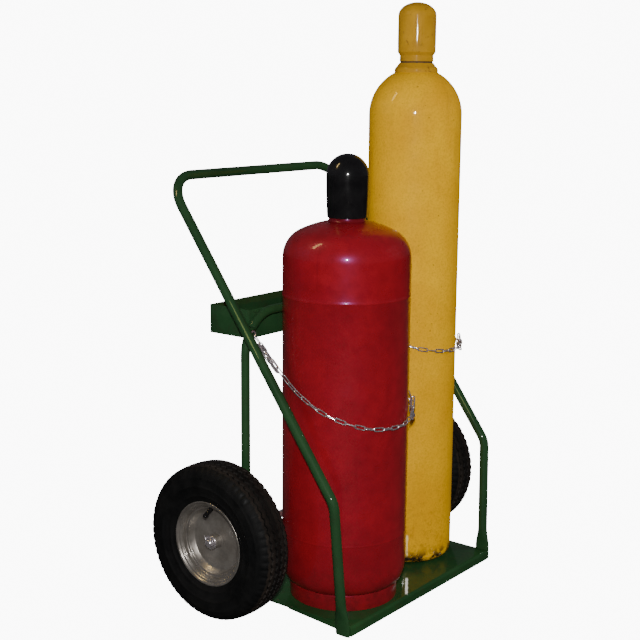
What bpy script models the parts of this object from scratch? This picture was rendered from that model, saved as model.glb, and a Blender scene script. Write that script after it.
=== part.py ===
"""Two-wheel hand cart carrying an acetylene cylinder and an oxygen cylinder.

A bent-tube frame stands on a folded toe plate and a solid axle.  An inverted-U
tube and an open steel tray stand behind the cylinders, and two chains hold them.
Units are metres, +Z is up, the toe plate's front edge faces -Y and the axle lies
along X.  The origin is on the ground under the middle of the bounding box.
"""

import math

import bmesh
import bpy
from mathutils import Matrix, Vector

# ---- driving dimensions ------------------------------------------------------
TOE_Y = -0.2814            # front face of the toe plate's lip
FIT_GAP = 0.0003           # clearance between pieces that touch

PLATE_HALF_WIDTH = 0.308
PLATE_DEPTH = 0.345
PLATE_TOP_Z = 0.024
PLATE_THICKNESS = 0.005
PLATE_BEND_RADIUS = 0.008
RIB_THICKNESS = 0.004      # tapered stiffeners under the plate's side edges
RIB_FRONT_HEIGHT = 0.0148
RIB_LENGTH = 0.185

TUBE_RADIUS = 0.012
TUBE_WALL = 0.002
TUBE_SIDES = 12
FOOT_X = 0.3136
FOOT_Y = TOE_Y + 0.0205
FOOT_HALF_WIDTH = 0.0205
FOOT_HALF_THICKNESS = 0.005
FOOT_FLAT_HEIGHT = 0.036
FOOT_ROUND_HEIGHT = 0.125
KNEE = Vector((0.332, TOE_Y + 0.036, 0.320))
KNEE_BEND_RADIUS = 0.060
HANDLE_CORNER = Vector((0.332, TOE_Y + 0.555, 1.038))
HANDLE_BEND_RADIUS = 0.085
HANDLE_JOINT_DROP = 0.150  # how far below the corner the handle tube begins

HOOP_RADIUS = 0.0115
HOOP_X = 0.308
HOOP_Y = TOE_Y + 0.325
HOOP_TOP_Z = 0.722
HOOP_BEND_RADIUS = 0.100

TRAY_HALF_WIDTH = 0.279
TRAY_FRONT_Y = TOE_Y + 0.337
TRAY_REAR_Y = TOE_Y + 0.466
TRAY_BOTTOM_Z = 0.657
TRAY_TOP_Z = 0.728
TRAY_WALL = 0.0025

AXLE_Y = TOE_Y + 0.325
AXLE_Z = 0.190
AXLE_RADIUS = 0.0095
AXLE_HALF_LENGTH = 0.446

WHEEL_X = 0.407            # wheel centre plane
TYRE_RADIUS = 0.190
TYRE_HALF_WIDTH = 0.050
RIM_RADIUS = 0.104
RIM_HALF_WIDTH = 0.041
WHEEL_STEPS = 26

RED_X = -0.146
RED_Y = TOE_Y + 0.147
RED_RADIUS = 0.152
RED_WALL = 0.004
RED_FOOT_RADIUS = 0.132
RED_FOOT_HEIGHT = 0.039
RED_LOW_KNUCKLE = (0.129, 0.023, 0.049)    # centre radius, width, height
RED_LOW_KNUCKLE_RISE = 0.050                # its centre above the groove
RED_KNUCKLE_Z = 0.8614     # the head is a sphere blended to the wall by a knuckle
RED_KNUCKLE_RADIUS = 0.070
RED_KNUCKLE_SWEEP = 64.43  # degrees
RED_CROWN_Z = 0.690
RED_CROWN_RADIUS = 0.260
RED_NECK_TOP_Z = 0.954
RED_CAP_TOP_Z = 1.103

YELLOW_X = 0.182
YELLOW_Y = TOE_Y + 0.181
YELLOW_RADIUS = 0.1175
YELLOW_WALL = 0.0065
YELLOW_SHOULDER_Z = 1.186
YELLOW_NECK_Z = 1.2915
YELLOW_CAP_TOP_Z = 1.463
CYLINDER_STEPS = 26
CAP_STEPS = 20
SMALL_STEPS = 14

CHAIN_DIAMETER = 0.011
CHAIN_POINT_PITCH = 0.030
CHAIN_RING_RADIUS = 0.009
CHAIN_RING_WIRE = 0.002
LUG_Z = 0.688
LUG_THICKNESS = 0.006
LUG_INNER_X = 0.2975       # the side lugs bridge the hoop and the side tubes
LUG_OUTER_X = 0.3185
LUG_FRONT_Y = TOE_Y + 0.300
LUG_REAR_Y = TOE_Y + 0.330
LUG_TO_RING_GAP = 0.0025
LUG_BEVEL = 0.001
CENTRE_LUG_X = 0.024
CENTRE_LUG_HALF_WIDTH = 0.012
CENTRE_LUG_DEPTH = 0.0102

BRACKET_THICKNESS = 0.006
BRACKET_HALF_DEPTH = 0.018
BRACKET_TOP_Z = 0.196

INNER_WASHER_X = 0.3690
OUTER_WASHER_X = 0.4335
WASHER_RADIUS = 0.017
WASHER_THICKNESS = 0.002
COTTER_PIN_X = 0.4385
COTTER_WIRE = 0.0028

HUB_RADIUS = 0.0167
HUB_BORE = 0.0143
HUB_INNER_END = -0.0355    # heights along the axle from the wheel's centre plane
HUB_OUTER_END = 0.0255
INNER_BEARING = (-0.0350, -0.0240)   # ends along the axle
OUTER_BEARING = (0.0130, 0.0250)
TUBE_SECTION_RADIUS = 0.140
TUBE_WIRE_RADIUS = 0.0285
STEM_BASE = (0.0245, 0.0838)         # distance outboard, radius
STEM_LEAN = (0.86, -0.51)
STEM_LENGTH = 0.0145

RED_BOTTOM_DIP = 0.012     # the shell's bottom dips this far into the foot ring
RED_VALVE_BORE = 0.0146
RED_HANDWHEEL_RADIUS = 0.024
RED_CAP_BASE_RADIUS = 0.0458
RED_CAP_WIDE_RADIUS = 0.0505
RED_CAP_DOME = 0.0505
RED_FOOT_RING_WALL = 0.004
FILLER_GAP = 0.0006

YELLOW_NECK_RISE = 0.023
YELLOW_NECK_RADIUS = 0.0385
YELLOW_CAP_GAP = 0.003      # the dark gap under the cap's mouth
YELLOW_DOME = 0.118
YELLOW_VALVE_BORE = 0.0150
YELLOW_HANDWHEEL_RADIUS = 0.030
YELLOW_CAP_BASE_RADIUS = 0.0422
YELLOW_CAP_WIDE_RADIUS = 0.0478
YELLOW_CAP_DOME = 0.033
YELLOW_CAP_COLLAR = 0.016
CAP_WALL = 0.0035
VALVE_BODY_RADIUS = 0.0165
VALVE_SPINDLE_RADIUS = 0.0050

# Route points of the two chains, distances in millimetres from the toe edge's
# middle on the ground: across, back, up.
RED_CHAIN_ROUTE = (
    (-308, 296, 676), (-307, 262, 643), (-306, 220, 601), (-306, 180, 566),
    (-305, 139, 540), (-295, 90, 514), (-271, 47, 496), (-236, 15, 482),
    (-196, -5, 476), (-150, -13, 474), (-104, -7, 476), (-62, 11, 486),
    (-25, 42, 512), (1, 85, 552), (14, 140, 603), (15, 200, 646),
    (16, 256, 680), (16, 303, 703),
)
YELLOW_CHAIN_ROUTE = (
    (32, 303, 703), (40, 250, 676), (51, 198, 655), (61, 148, 632),
    (79, 109, 610), (113, 76, 600), (150, 60, 595), (190, 56, 592),
    (232, 66, 592), (271, 93, 596), (298, 132, 606), (308, 180, 624),
    (308, 230, 647), (308, 270, 664), (308, 296, 676),
)

GREEN = (0.030, 0.110, 0.040)
RED = (0.260, 0.008, 0.012)
YELLOW = (0.560, 0.330, 0.030)
CAP_YELLOW = (0.430, 0.230, 0.028)
BLACK = (0.006, 0.006, 0.008)
RUBBER = (0.008, 0.008, 0.009)
SILVER = (0.300, 0.270, 0.230)
ZINC = (0.520, 0.510, 0.490)
BRASS = (0.480, 0.330, 0.110)


# ---- scene and material helpers ----------------------------------------------
def clear_scene():
    for obj in list(bpy.data.objects):
        bpy.data.objects.remove(obj, do_unlink=True)


def make_material(name, colour, roughness, metallic=0.0):
    material = bpy.data.materials.new(name)
    material.use_nodes = True
    shader = material.node_tree.nodes["Principled BSDF"]
    shader.inputs["Base Color"].default_value = (*colour, 1.0)
    shader.inputs["Roughness"].default_value = roughness
    shader.inputs["Metallic"].default_value = metallic
    return material


def make_empty(name, position):
    empty = bpy.data.objects.new(name, None)
    bpy.context.scene.collection.objects.link(empty)
    empty.location = position
    return empty


def mesh_object(name, bm, look, parent=None, smooth_angle=35.0):
    """Turn a bmesh into a linked object with its own material."""
    bmesh.ops.recalc_face_normals(bm, faces=bm.faces[:])
    mesh = bpy.data.meshes.new(name)
    bm.to_mesh(mesh)
    bm.free()
    mesh.shade_smooth()
    mesh.set_sharp_from_angle(angle=math.radians(smooth_angle))
    obj = bpy.data.objects.new(name, mesh)
    bpy.context.scene.collection.objects.link(obj)
    colour, roughness, metallic = look
    mesh.materials.append(make_material(name, colour, roughness, metallic))
    obj.parent = parent
    return obj


PAINT_GREEN = (GREEN, 0.30, 0.0)
PAINT_RED = (RED, 0.32, 0.0)
PAINT_YELLOW = (YELLOW, 0.35, 0.0)
PAINT_CAP_YELLOW = (CAP_YELLOW, 0.35, 0.0)
PAINT_BLACK = (BLACK, 0.20, 0.0)
TYRE_RUBBER = (RUBBER, 0.75, 0.0)
PLATED_RIM = (SILVER, 0.35, 0.8)
PLATED_ZINC = (ZINC, 0.35, 1.0)
BARE_BRASS = (BRASS, 0.40, 1.0)
STEEL = ((0.30, 0.30, 0.31), 0.40, 1.0)
GREY_FILLER = ((0.30, 0.28, 0.25), 0.90, 0.0)


# ---- shape helpers -----------------------------------------------------------
def arc(centre_r, centre_h, radius, start_deg, end_deg, steps, height=None):
    """Points (r, h) along an arc of a circle, or of an ellipse of another height."""
    height = radius if height is None else height
    points = []
    for i in range(steps + 1):
        angle = math.radians(start_deg + (end_deg - start_deg) * i / steps)
        points.append((centre_r + radius * math.cos(angle),
                       centre_h + height * math.sin(angle)))
    return points


def turned(name, outline, look, steps, axis="Z", parent=None, closed=True, flip=1.0):
    """Spin an outline of (radius, height) points a full turn about an axis.

    A closed outline makes a ring; an open one starts and ends on the axis.
    flip=-1 mirrors the heights, for the left-hand copy of a right-hand piece.
    """
    bm = bmesh.new()
    verts = [bm.verts.new((r, 0.0, h * flip)) for r, h in outline]
    edges = [bm.edges.new(pair) for pair in zip(verts, verts[1:])]
    if closed:
        edges.append(bm.edges.new((verts[-1], verts[0])))
    bmesh.ops.spin(bm, geom=verts + edges, cent=(0, 0, 0), axis=(0, 0, 1),
                   angle=2.0 * math.pi, steps=steps, use_duplicate=False)
    bmesh.ops.remove_doubles(bm, verts=bm.verts[:], dist=1e-6)
    if axis == "X":
        turn = Matrix.Rotation(math.radians(90.0), 4, "Y")
        bmesh.ops.transform(bm, matrix=turn, verts=bm.verts[:])
    return mesh_object(name, bm, look, parent)


def box(name, low, high, look, bevel):
    bm = bmesh.new()
    bmesh.ops.create_cube(bm, size=1.0)
    size = Vector(high) - Vector(low)
    centre = (Vector(high) + Vector(low)) / 2.0
    bmesh.ops.scale(bm, vec=size, verts=bm.verts[:])
    bmesh.ops.translate(bm, vec=centre, verts=bm.verts[:])
    bmesh.ops.bevel(bm, geom=bm.edges[:], offset=bevel, segments=1, affect="EDGES")
    return mesh_object(name, bm, look)


def extruded(name, outline, low_x, high_x, look):
    """Extrude a closed (y, z) outline along X."""
    bm = bmesh.new()
    verts = [bm.verts.new((low_x, y, z)) for y, z in outline]
    face = bm.faces.new(verts)
    pulled = bmesh.ops.extrude_face_region(bm, geom=[face])
    moved = [v for v in pulled["geom"] if isinstance(v, bmesh.types.BMVert)]
    bmesh.ops.translate(bm, vec=(high_x - low_x, 0, 0), verts=moved)
    return mesh_object(name, bm, look)


def bend(before, corner, after, radius, steps):
    """Points of a round bend of the given radius at a corner of a path."""
    toward_start = (before - corner).normalized()
    toward_end = (after - corner).normalized()
    half = toward_start.angle(toward_end) / 2.0
    tangent_length = radius / math.tan(half)
    middle = (toward_start + toward_end).normalized()
    centre = corner + middle * (radius / math.sin(half))
    first = corner + toward_start * tangent_length - centre
    last = corner + toward_end * tangent_length - centre
    sweep = first.angle(last)
    normal = first.cross(last).normalized()
    return [centre + Matrix.Rotation(sweep * i / steps, 3, normal) @ first
            for i in range(steps + 1)]


def swept_tube(name, stations, look, bore_from=0):
    """Loft a hollow tube through stations of (point, half_width, half_thickness).

    The first section's thickness lies toward X, and the section's axes are carried
    along the path without twisting.  The bore runs from station bore_from to the
    last one; it is closed at its start unless that is the first station, and then
    the first section is cut level.
    """
    points = [s[0] for s in stations]
    thick_axis = Vector((1, 0, 0))
    bm = bmesh.new()
    outer, inner = [], []
    for i, (point, half_width, half_thickness) in enumerate(stations):
        ahead = points[min(i + 1, len(points) - 1)]
        behind = points[max(i - 1, 0)]
        along = (ahead - behind).normalized()
        thick_axis = (thick_axis - along * thick_axis.dot(along)).normalized()
        wide_axis = along.cross(thick_axis)
        outer.append(ring(bm, point, wide_axis, thick_axis, half_width, half_thickness))
        if i >= bore_from:
            inner.append(ring(bm, point, wide_axis, thick_axis,
                              half_width - TUBE_WALL, half_thickness - TUBE_WALL))
    join_rings(bm, outer)
    join_rings(bm, inner)
    cap_between(bm, outer[-1], inner[-1])
    if bore_from == 0:
        cap_between(bm, outer[0], inner[0])
    else:
        for vert in outer[0]:
            vert.co.z = points[0].z
        bm.faces.new(outer[0])
        bm.faces.new(inner[0])
    return mesh_object(name, bm, look)


def ring(bm, point, wide_axis, thick_axis, half_width, half_thickness):
    verts = []
    for k in range(TUBE_SIDES):
        angle = 2.0 * math.pi * (k + 0.5) / TUBE_SIDES
        offset = (wide_axis * (half_width * math.cos(angle))
                  + thick_axis * (half_thickness * math.sin(angle)))
        verts.append(bm.verts.new(point + offset))
    return verts


def join_rings(bm, rings):
    for first, second in zip(rings, rings[1:]):
        for k in range(TUBE_SIDES):
            n = (k + 1) % TUBE_SIDES
            bm.faces.new((first[k], first[n], second[n], second[k]))


def cap_between(bm, outer, inner):
    for k in range(TUBE_SIDES):
        n = (k + 1) % TUBE_SIDES
        bm.faces.new((outer[k], outer[n], inner[n], inner[k]))


def smooth_route(route, pitch):
    """Evenly spaced points on a Catmull-Rom curve through a route."""
    knots = [Vector((x, y + TOE_Y * 1000.0, z)) / 1000.0 for x, y, z in route]
    padded = [2 * knots[0] - knots[1]] + knots + [2 * knots[-1] - knots[-2]]
    fine = []
    for i in range(len(knots) - 1):
        p0, p1, p2, p3 = padded[i:i + 4]
        for j in range(12):
            t = j / 12.0
            fine.append(0.5 * ((2 * p1) + (p2 - p0) * t
                               + (2 * p0 - 5 * p1 + 4 * p2 - p3) * t * t
                               + (3 * p1 - p0 - 3 * p2 + p3) * t ** 3))
    fine.append(knots[-1])
    length = sum((b - a).length for a, b in zip(fine, fine[1:]))
    count = max(2, round(length / pitch))
    points, walked, target = [fine[0]], 0.0, length / count
    for a, b in zip(fine, fine[1:]):
        step = (b - a).length
        while walked + step >= target - 1e-9 and len(points) < count:
            points.append(a.lerp(b, (target - walked) / step))
            target += length / count
        walked += step
    points.append(fine[-1])
    return points


def wire_curve(name, points, diameter, look, cyclic=False, resolution=2):
    """A round bar of the given diameter along a polyline, with filled ends."""
    curve = bpy.data.curves.new(name, "CURVE")
    curve.dimensions = "3D"
    curve.bevel_depth = diameter / 2.0
    curve.bevel_resolution = resolution
    curve.use_fill_caps = True
    spline = curve.splines.new("POLY")
    spline.points.add(len(points) - 1)
    for item, point in zip(spline.points, points):
        item.co = (*point, 1.0)
    spline.use_cyclic_u = cyclic
    obj = bpy.data.objects.new(name, curve)
    bpy.context.scene.collection.objects.link(obj)
    colour, roughness, metallic = look
    curve.materials.append(make_material(name, colour, roughness, metallic))
    return obj


# ---- frame -------------------------------------------------------------------
def make_toe_plate():
    front, rear = TOE_Y, TOE_Y + PLATE_DEPTH
    top, under = PLATE_TOP_Z, PLATE_TOP_Z - PLATE_THICKNESS
    outer = PLATE_BEND_RADIUS
    inner = PLATE_BEND_RADIUS - PLATE_THICKNESS
    outline = [(rear, under), (rear, top)]
    outline += arc(front + outer, top - outer, outer, 90.0, 180.0, 4)
    outline += [(front, 0.0), (front + PLATE_THICKNESS, 0.0)]
    outline += arc(front + outer, top - outer, inner, 180.0, 90.0, 3)
    extruded("toe_plate", outline, -PLATE_HALF_WIDTH, PLATE_HALF_WIDTH, PAINT_GREEN)


def make_side_ribs():
    """Tapered stiffeners under the toe plate, deepest behind its front lip."""
    top = PLATE_TOP_Z - PLATE_THICKNESS - FIT_GAP
    front = TOE_Y + PLATE_THICKNESS + FIT_GAP
    rear = front + RIB_LENGTH
    bend_clearance = PLATE_BEND_RADIUS - PLATE_THICKNESS + FIT_GAP
    blunt_end = 0.002
    outline = [(front + bend_clearance, top), (front, top - bend_clearance),
               (front, top - RIB_FRONT_HEIGHT), (rear, top - blunt_end), (rear, top)]
    for side, label in ((-1, "left"), (1, "right")):
        low, high = sorted((side * PLATE_HALF_WIDTH,
                            side * (PLATE_HALF_WIDTH - RIB_THICKNESS)))
        extruded(f"{label}_side_rib", outline, low, high, PAINT_GREEN)


def side_tube_stations(side):
    """Flattened foot, post, knee bend and the long straight up to the handle."""
    foot = Vector((side * FOOT_X, FOOT_Y, 0.0))
    knee = Vector((side * KNEE.x, KNEE.y, KNEE.z))
    corner = Vector((side * HANDLE_CORNER.x, HANDLE_CORNER.y, HANDLE_CORNER.z))
    post = (knee - foot) / (knee.z - foot.z)
    stations = []
    for height in (0.0, 0.022, FOOT_FLAT_HEIGHT):
        stations.append((foot + post * height, FOOT_HALF_WIDTH, FOOT_HALF_THICKNESS))
    blend_steps = 4
    for i in range(1, blend_steps + 1):
        share = i / blend_steps
        ease = share * share * (3.0 - 2.0 * share)
        height = FOOT_FLAT_HEIGHT + (FOOT_ROUND_HEIGHT - FOOT_FLAT_HEIGHT) * share
        width = FOOT_HALF_WIDTH + (TUBE_RADIUS - FOOT_HALF_WIDTH) * ease
        thickness = FOOT_HALF_THICKNESS + (TUBE_RADIUS - FOOT_HALF_THICKNESS) * ease
        stations.append((foot + post * height, width, thickness))
    for point in bend(foot, knee, corner, KNEE_BEND_RADIUS, 5):
        stations.append((point, TUBE_RADIUS, TUBE_RADIUS))
    down = (knee - corner).normalized()
    end = corner + down * (HANDLE_JOINT_DROP + FIT_GAP)
    stations.append((end, TUBE_RADIUS, TUBE_RADIUS))
    return stations


def make_side_tubes():
    for side, label in ((-1, "left"), (1, "right")):
        swept_tube(f"{label}_frame_tube", side_tube_stations(side), PAINT_GREEN, bore_from=4)


def u_tube_points(left_end, left_corner, right_corner, right_end, radius, steps):
    points = [left_end]
    points += bend(left_end, left_corner, right_corner, radius, steps)
    points += bend(left_corner, right_corner, right_end, radius, steps)
    points.append(right_end)
    return points


def make_handle():
    right = HANDLE_CORNER
    left = Vector((-right.x, right.y, right.z))
    down = (KNEE - HANDLE_CORNER).normalized() * HANDLE_JOINT_DROP
    points = u_tube_points(left + down, left, right, right + down, HANDLE_BEND_RADIUS, 6)
    stations = [(p, TUBE_RADIUS, TUBE_RADIUS) for p in points]
    swept_tube("handle_tube", stations, PAINT_GREEN)


def make_rear_hoop():
    foot_z = AXLE_Z + AXLE_RADIUS + FIT_GAP
    points = u_tube_points(Vector((-HOOP_X, HOOP_Y, foot_z)),
                           Vector((-HOOP_X, HOOP_Y, HOOP_TOP_Z)),
                           Vector((HOOP_X, HOOP_Y, HOOP_TOP_Z)),
                           Vector((HOOP_X, HOOP_Y, foot_z)), HOOP_BEND_RADIUS, 6)
    stations = [(p, HOOP_RADIUS, HOOP_RADIUS) for p in points]
    swept_tube("rear_hoop_tube", stations, PAINT_GREEN)


def make_tray():
    """An open box: a block whose top face is inset and pushed down."""
    bm = bmesh.new()
    bmesh.ops.create_cube(bm, size=1.0)
    size = (2 * TRAY_HALF_WIDTH, TRAY_REAR_Y - TRAY_FRONT_Y, TRAY_TOP_Z - TRAY_BOTTOM_Z)
    middle = (0, (TRAY_REAR_Y + TRAY_FRONT_Y) / 2, (TRAY_TOP_Z + TRAY_BOTTOM_Z) / 2)
    bmesh.ops.scale(bm, vec=size, verts=bm.verts[:])
    bmesh.ops.translate(bm, vec=middle, verts=bm.verts[:])
    top = max(bm.faces, key=lambda face: face.calc_center_median().z)
    bmesh.ops.inset_region(bm, faces=[top], thickness=TRAY_WALL)
    pushed = bmesh.ops.extrude_face_region(bm, geom=[top])
    moved = [v for v in pushed["geom"] if isinstance(v, bmesh.types.BMVert)]
    bmesh.ops.translate(bm, vec=(0, 0, TRAY_WALL - size[2]), verts=moved)
    bmesh.ops.delete(bm, geom=[top], context="FACES")
    mesh_object("tray", bm, PAINT_GREEN)


def make_axle():
    outline = [(0.0, -AXLE_HALF_LENGTH), (AXLE_RADIUS - 0.001, -AXLE_HALF_LENGTH),
               (AXLE_RADIUS, -AXLE_HALF_LENGTH + 0.001),
               (AXLE_RADIUS, AXLE_HALF_LENGTH - 0.001),
               (AXLE_RADIUS - 0.001, AXLE_HALF_LENGTH), (0.0, AXLE_HALF_LENGTH)]
    axle = turned("axle", outline, STEEL, SMALL_STEPS, axis="X", closed=False)
    axle.location = (0, AXLE_Y, AXLE_Z)


def make_axle_brackets():
    """Upright plates on the toe plate's side edges, slotted over the axle."""
    front, rear = AXLE_Y - BRACKET_HALF_DEPTH, AXLE_Y + BRACKET_HALF_DEPTH
    foot_z = PLATE_TOP_Z - PLATE_THICKNESS
    slot = AXLE_RADIUS + FIT_GAP
    outline = [(front, foot_z), (rear, foot_z), (rear, BRACKET_TOP_Z),
               (AXLE_Y + slot, BRACKET_TOP_Z)]
    outline += [(AXLE_Y + y, AXLE_Z + z) for y, z in arc(0, 0, slot, 0.0, -180.0, 8)]
    outline += [(AXLE_Y - slot, BRACKET_TOP_Z), (front, BRACKET_TOP_Z)]
    inner = PLATE_HALF_WIDTH + FIT_GAP
    for side, label in ((-1, "left"), (1, "right")):
        low, high = sorted((side * inner, side * (inner + BRACKET_THICKNESS)))
        extruded(f"{label}_axle_bracket", outline, low, high, PAINT_GREEN)


def make_chain_lugs():
    """Flat lugs on the rear hoop, each with a ring that a chain hangs from."""
    ring_drop = CHAIN_RING_RADIUS + LUG_TO_RING_GAP
    for side, label in ((-1, "left"), (1, "right")):
        low_x, high_x = sorted((side * LUG_INNER_X, side * LUG_OUTER_X))
        box(f"{label}_chain_lug", (low_x, LUG_FRONT_Y, LUG_Z),
            (high_x, LUG_REAR_Y, LUG_Z + LUG_THICKNESS), PAINT_GREEN, LUG_BEVEL)
        chain_ring(f"{label}_chain_ring",
                   Vector((side * HOOP_X, LUG_FRONT_Y + FIT_GAP, LUG_Z - ring_drop)))
    face_y = HOOP_Y - HOOP_RADIUS - FIT_GAP
    under_z = HOOP_TOP_Z - LUG_THICKNESS / 2
    box("centre_chain_lug",
        (CENTRE_LUG_X - CENTRE_LUG_HALF_WIDTH, face_y - CENTRE_LUG_DEPTH, under_z),
        (CENTRE_LUG_X + CENTRE_LUG_HALF_WIDTH, face_y, under_z + LUG_THICKNESS),
        PAINT_GREEN, LUG_BEVEL)
    chain_ring("centre_chain_ring",
               Vector((CENTRE_LUG_X, face_y - CENTRE_LUG_DEPTH / 2, under_z - ring_drop)))


def chain_ring(name, centre):
    """A welded wire ring hanging in the XZ plane."""
    points = []
    for i in range(12):
        angle = 2.0 * math.pi * i / 12
        points.append(centre + Vector((CHAIN_RING_RADIUS * math.cos(angle), 0.0,
                                       CHAIN_RING_RADIUS * math.sin(angle))))
    wire_curve(name, points, 2 * CHAIN_RING_WIRE, PLATED_ZINC, cyclic=True, resolution=1)


def make_chains():
    for name, route in (("red_side_chain", RED_CHAIN_ROUTE),
                        ("yellow_side_chain", YELLOW_CHAIN_ROUTE)):
        points = smooth_route(route, CHAIN_POINT_PITCH)
        wire_curve(name, points, CHAIN_DIAMETER, PLATED_ZINC)


def make_axle_hardware():
    """Washers and cotter pins that keep the wheels on the axle."""
    bore = AXLE_RADIUS + FIT_GAP
    outline = [(bore, 0.0), (WASHER_RADIUS, 0.0), (WASHER_RADIUS, WASHER_THICKNESS),
               (bore, WASHER_THICKNESS)]
    for side, label in ((-1, "left"), (1, "right")):
        for place_name, x in (("inner", INNER_WASHER_X), ("outer", OUTER_WASHER_X)):
            washer = turned(f"{label}_{place_name}_washer", outline, PLATED_ZINC,
                            SMALL_STEPS, axis="X", flip=side)
            washer.location = (side * x, AXLE_Y, AXLE_Z)
        make_cotter_pin(f"{label}_cotter_pin", side * COTTER_PIN_X)


def make_cotter_pin(name, x):
    """A split pin bent round the axle's end: an open wire loop about the bar."""
    turns = 8
    first_angle = math.radians(20.0)
    step = math.radians(300.0) / turns
    radius = (AXLE_RADIUS + COTTER_WIRE / 2 + FIT_GAP) / math.cos(step / 2)
    points = [Vector((x, AXLE_Y + radius + 0.004, AXLE_Z + 0.014))]
    for i in range(turns + 1):
        angle = first_angle + step * i
        points.append(Vector((x, AXLE_Y + radius * math.cos(angle),
                              AXLE_Z + radius * math.sin(angle))))
    wire_curve(name, points, COTTER_WIRE, PLATED_ZINC, resolution=1)


# ---- wheels ------------------------------------------------------------------
def tyre_outline():
    """Closed (radius, height) section: crown, sidewalls, beads and the inside."""
    outer = [(TYRE_RADIUS, 0.0), (TYRE_RADIUS - 0.0020, 0.026), (TYRE_RADIUS - 0.012, 0.0425),
             (0.160, 0.0493), (0.145, TYRE_HALF_WIDTH), (0.118, 0.0440), (0.1000, 0.0360)]
    inner = [(0.0980, 0.0300), (0.112, 0.0310), (0.140, 0.0420), (0.164, 0.0400),
             (0.179, 0.0)]
    half = outer + inner
    mirrored = [(r, -h) for r, h in reversed(half[1:-1])]
    return half + mirrored


def rim_outline():
    """Closed section of the pressed rim and its dished disc, outboard side up."""
    outer = [(0.0170, 0.0040), (0.0620, 0.0040), (0.0740, 0.0060), (0.0790, 0.0150),
             (0.0880, 0.0215), (0.0895, 0.0320), (0.0960, 0.0360), (0.0985, 0.0395),
             (0.1020, RIM_HALF_WIDTH), (RIM_RADIUS, 0.0395)]
    under = [(0.0990, 0.0365), (0.0960, 0.0290), (0.0870, 0.0120), (0.0850, -0.0100),
             (0.0940, -0.0270), (0.0990, -0.0365), (RIM_RADIUS, -0.0395),
             (0.1020, -RIM_HALF_WIDTH)]
    inside = [(0.0960, -0.0380), (0.0910, -0.0270), (0.0815, -0.0110), (0.0750, 0.0008),
              (0.0630, 0.0012), (0.0170, 0.0012)]
    return outer + under + inside


def make_wheel(side, label):
    hub_centre = make_empty(f"{label}_wheel_axis", (side * WHEEL_X, AXLE_Y, AXLE_Z))

    def part(name, outline, look, steps):
        turned(f"{label}_{name}", outline, look, steps, axis="X", parent=hub_centre, flip=side)

    part("tyre", tyre_outline(), TYRE_RUBBER, WHEEL_STEPS)
    part("inner_tube", arc(TUBE_SECTION_RADIUS, 0.0, TUBE_WIRE_RADIUS, 0.0, 315.0, 7),
         TYRE_RUBBER, WHEEL_STEPS)
    part("rim", rim_outline(), PLATED_RIM, WHEEL_STEPS)
    part("hub", [(HUB_BORE, HUB_INNER_END), (HUB_RADIUS, HUB_INNER_END),
                 (HUB_RADIUS, HUB_OUTER_END), (HUB_BORE, HUB_OUTER_END)],
         PLATED_RIM, SMALL_STEPS)
    bore = AXLE_RADIUS + FIT_GAP
    race = HUB_BORE - FIT_GAP
    for place_name, (low, high) in (("inner", INNER_BEARING), ("outer", OUTER_BEARING)):
        part(f"{place_name}_bearing", [(bore, low), (race, low), (race, high), (bore, high)],
             STEEL, SMALL_STEPS)
    make_valve_stem(side, label, hub_centre)


def make_valve_stem(side, label, parent):
    """A rubber stem with its cap, leaning out of the rim toward the axle."""
    base = Vector((side * STEM_BASE[0], 0.0, STEM_BASE[1]))
    lean = Vector((side * STEM_LEAN[0], 0.0, STEM_LEAN[1])).normalized()
    stem = [(0.0, 0.0), (0.0042, 0.0), (0.0040, 0.005), (0.0032, 0.007),
            (0.0032, STEM_LENGTH), (0.0, STEM_LENGTH)]
    cap = [(0.0, 0.0), (0.0040, 0.0), (0.0040, 0.0070), (0.0030, 0.0085), (0.0, 0.0085)]
    turn = Vector((0, 0, 1)).rotation_difference(lean).to_euler()
    for name, outline, shift in (("valve_stem", stem, 0.0),
                                 ("valve_cap", cap, STEM_LENGTH + FIT_GAP)):
        piece = turned(f"{label}_{name}", outline, PAINT_BLACK, 12, parent=parent,
                       closed=False)
        piece.location = base + lean * shift
        piece.rotation_euler = turn


# ---- gas cylinders -----------------------------------------------------------
def ellipse_shoulder(radius, start_z, height, neck_radius, steps):
    """Points (r, z) of an elliptical dome from the wall in to the neck."""
    last = math.degrees(math.acos(neck_radius / radius))
    return arc(0.0, start_z, radius, 0.0, last, steps, height)


def make_red_cylinder():
    """Welded acetylene cylinder: shell with a foot ring, filler, valve and cap."""
    origin = make_empty("red_cylinder_axis", (RED_X, RED_Y, 0.0))
    floor_z = PLATE_TOP_Z + FIT_GAP
    groove_z = floor_z + RED_FOOT_HEIGHT
    bottom_z = groove_z - RED_BOTTOM_DIP
    turned("red_shell", red_shell_outline(groove_z, bottom_z), PAINT_RED,
           CYLINDER_STEPS, parent=origin, closed=False)
    ring_inner = RED_FOOT_RADIUS - RED_FOOT_RING_WALL
    foot = [(RED_FOOT_RADIUS, floor_z), (RED_FOOT_RADIUS, groove_z),
            (ring_inner, groove_z + 0.0025), (ring_inner, floor_z)]
    turned("red_foot_ring", foot, PAINT_RED, CYLINDER_STEPS, parent=origin)
    turned("red_porous_filler", red_filler_outline(groove_z, bottom_z), GREY_FILLER,
           CYLINDER_STEPS, parent=origin, closed=False)
    make_valve("red", origin, RED_NECK_TOP_Z, RED_VALVE_BORE, RED_HANDWHEEL_RADIUS)
    cap = make_cap_outline(RED_NECK_TOP_Z + FIT_GAP, RED_CAP_TOP_Z, RED_CAP_BASE_RADIUS,
                           RED_CAP_WIDE_RADIUS, RED_CAP_DOME, 0.0)
    turned("red_cap", cap, PAINT_BLACK, CAP_STEPS, parent=origin)


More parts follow.
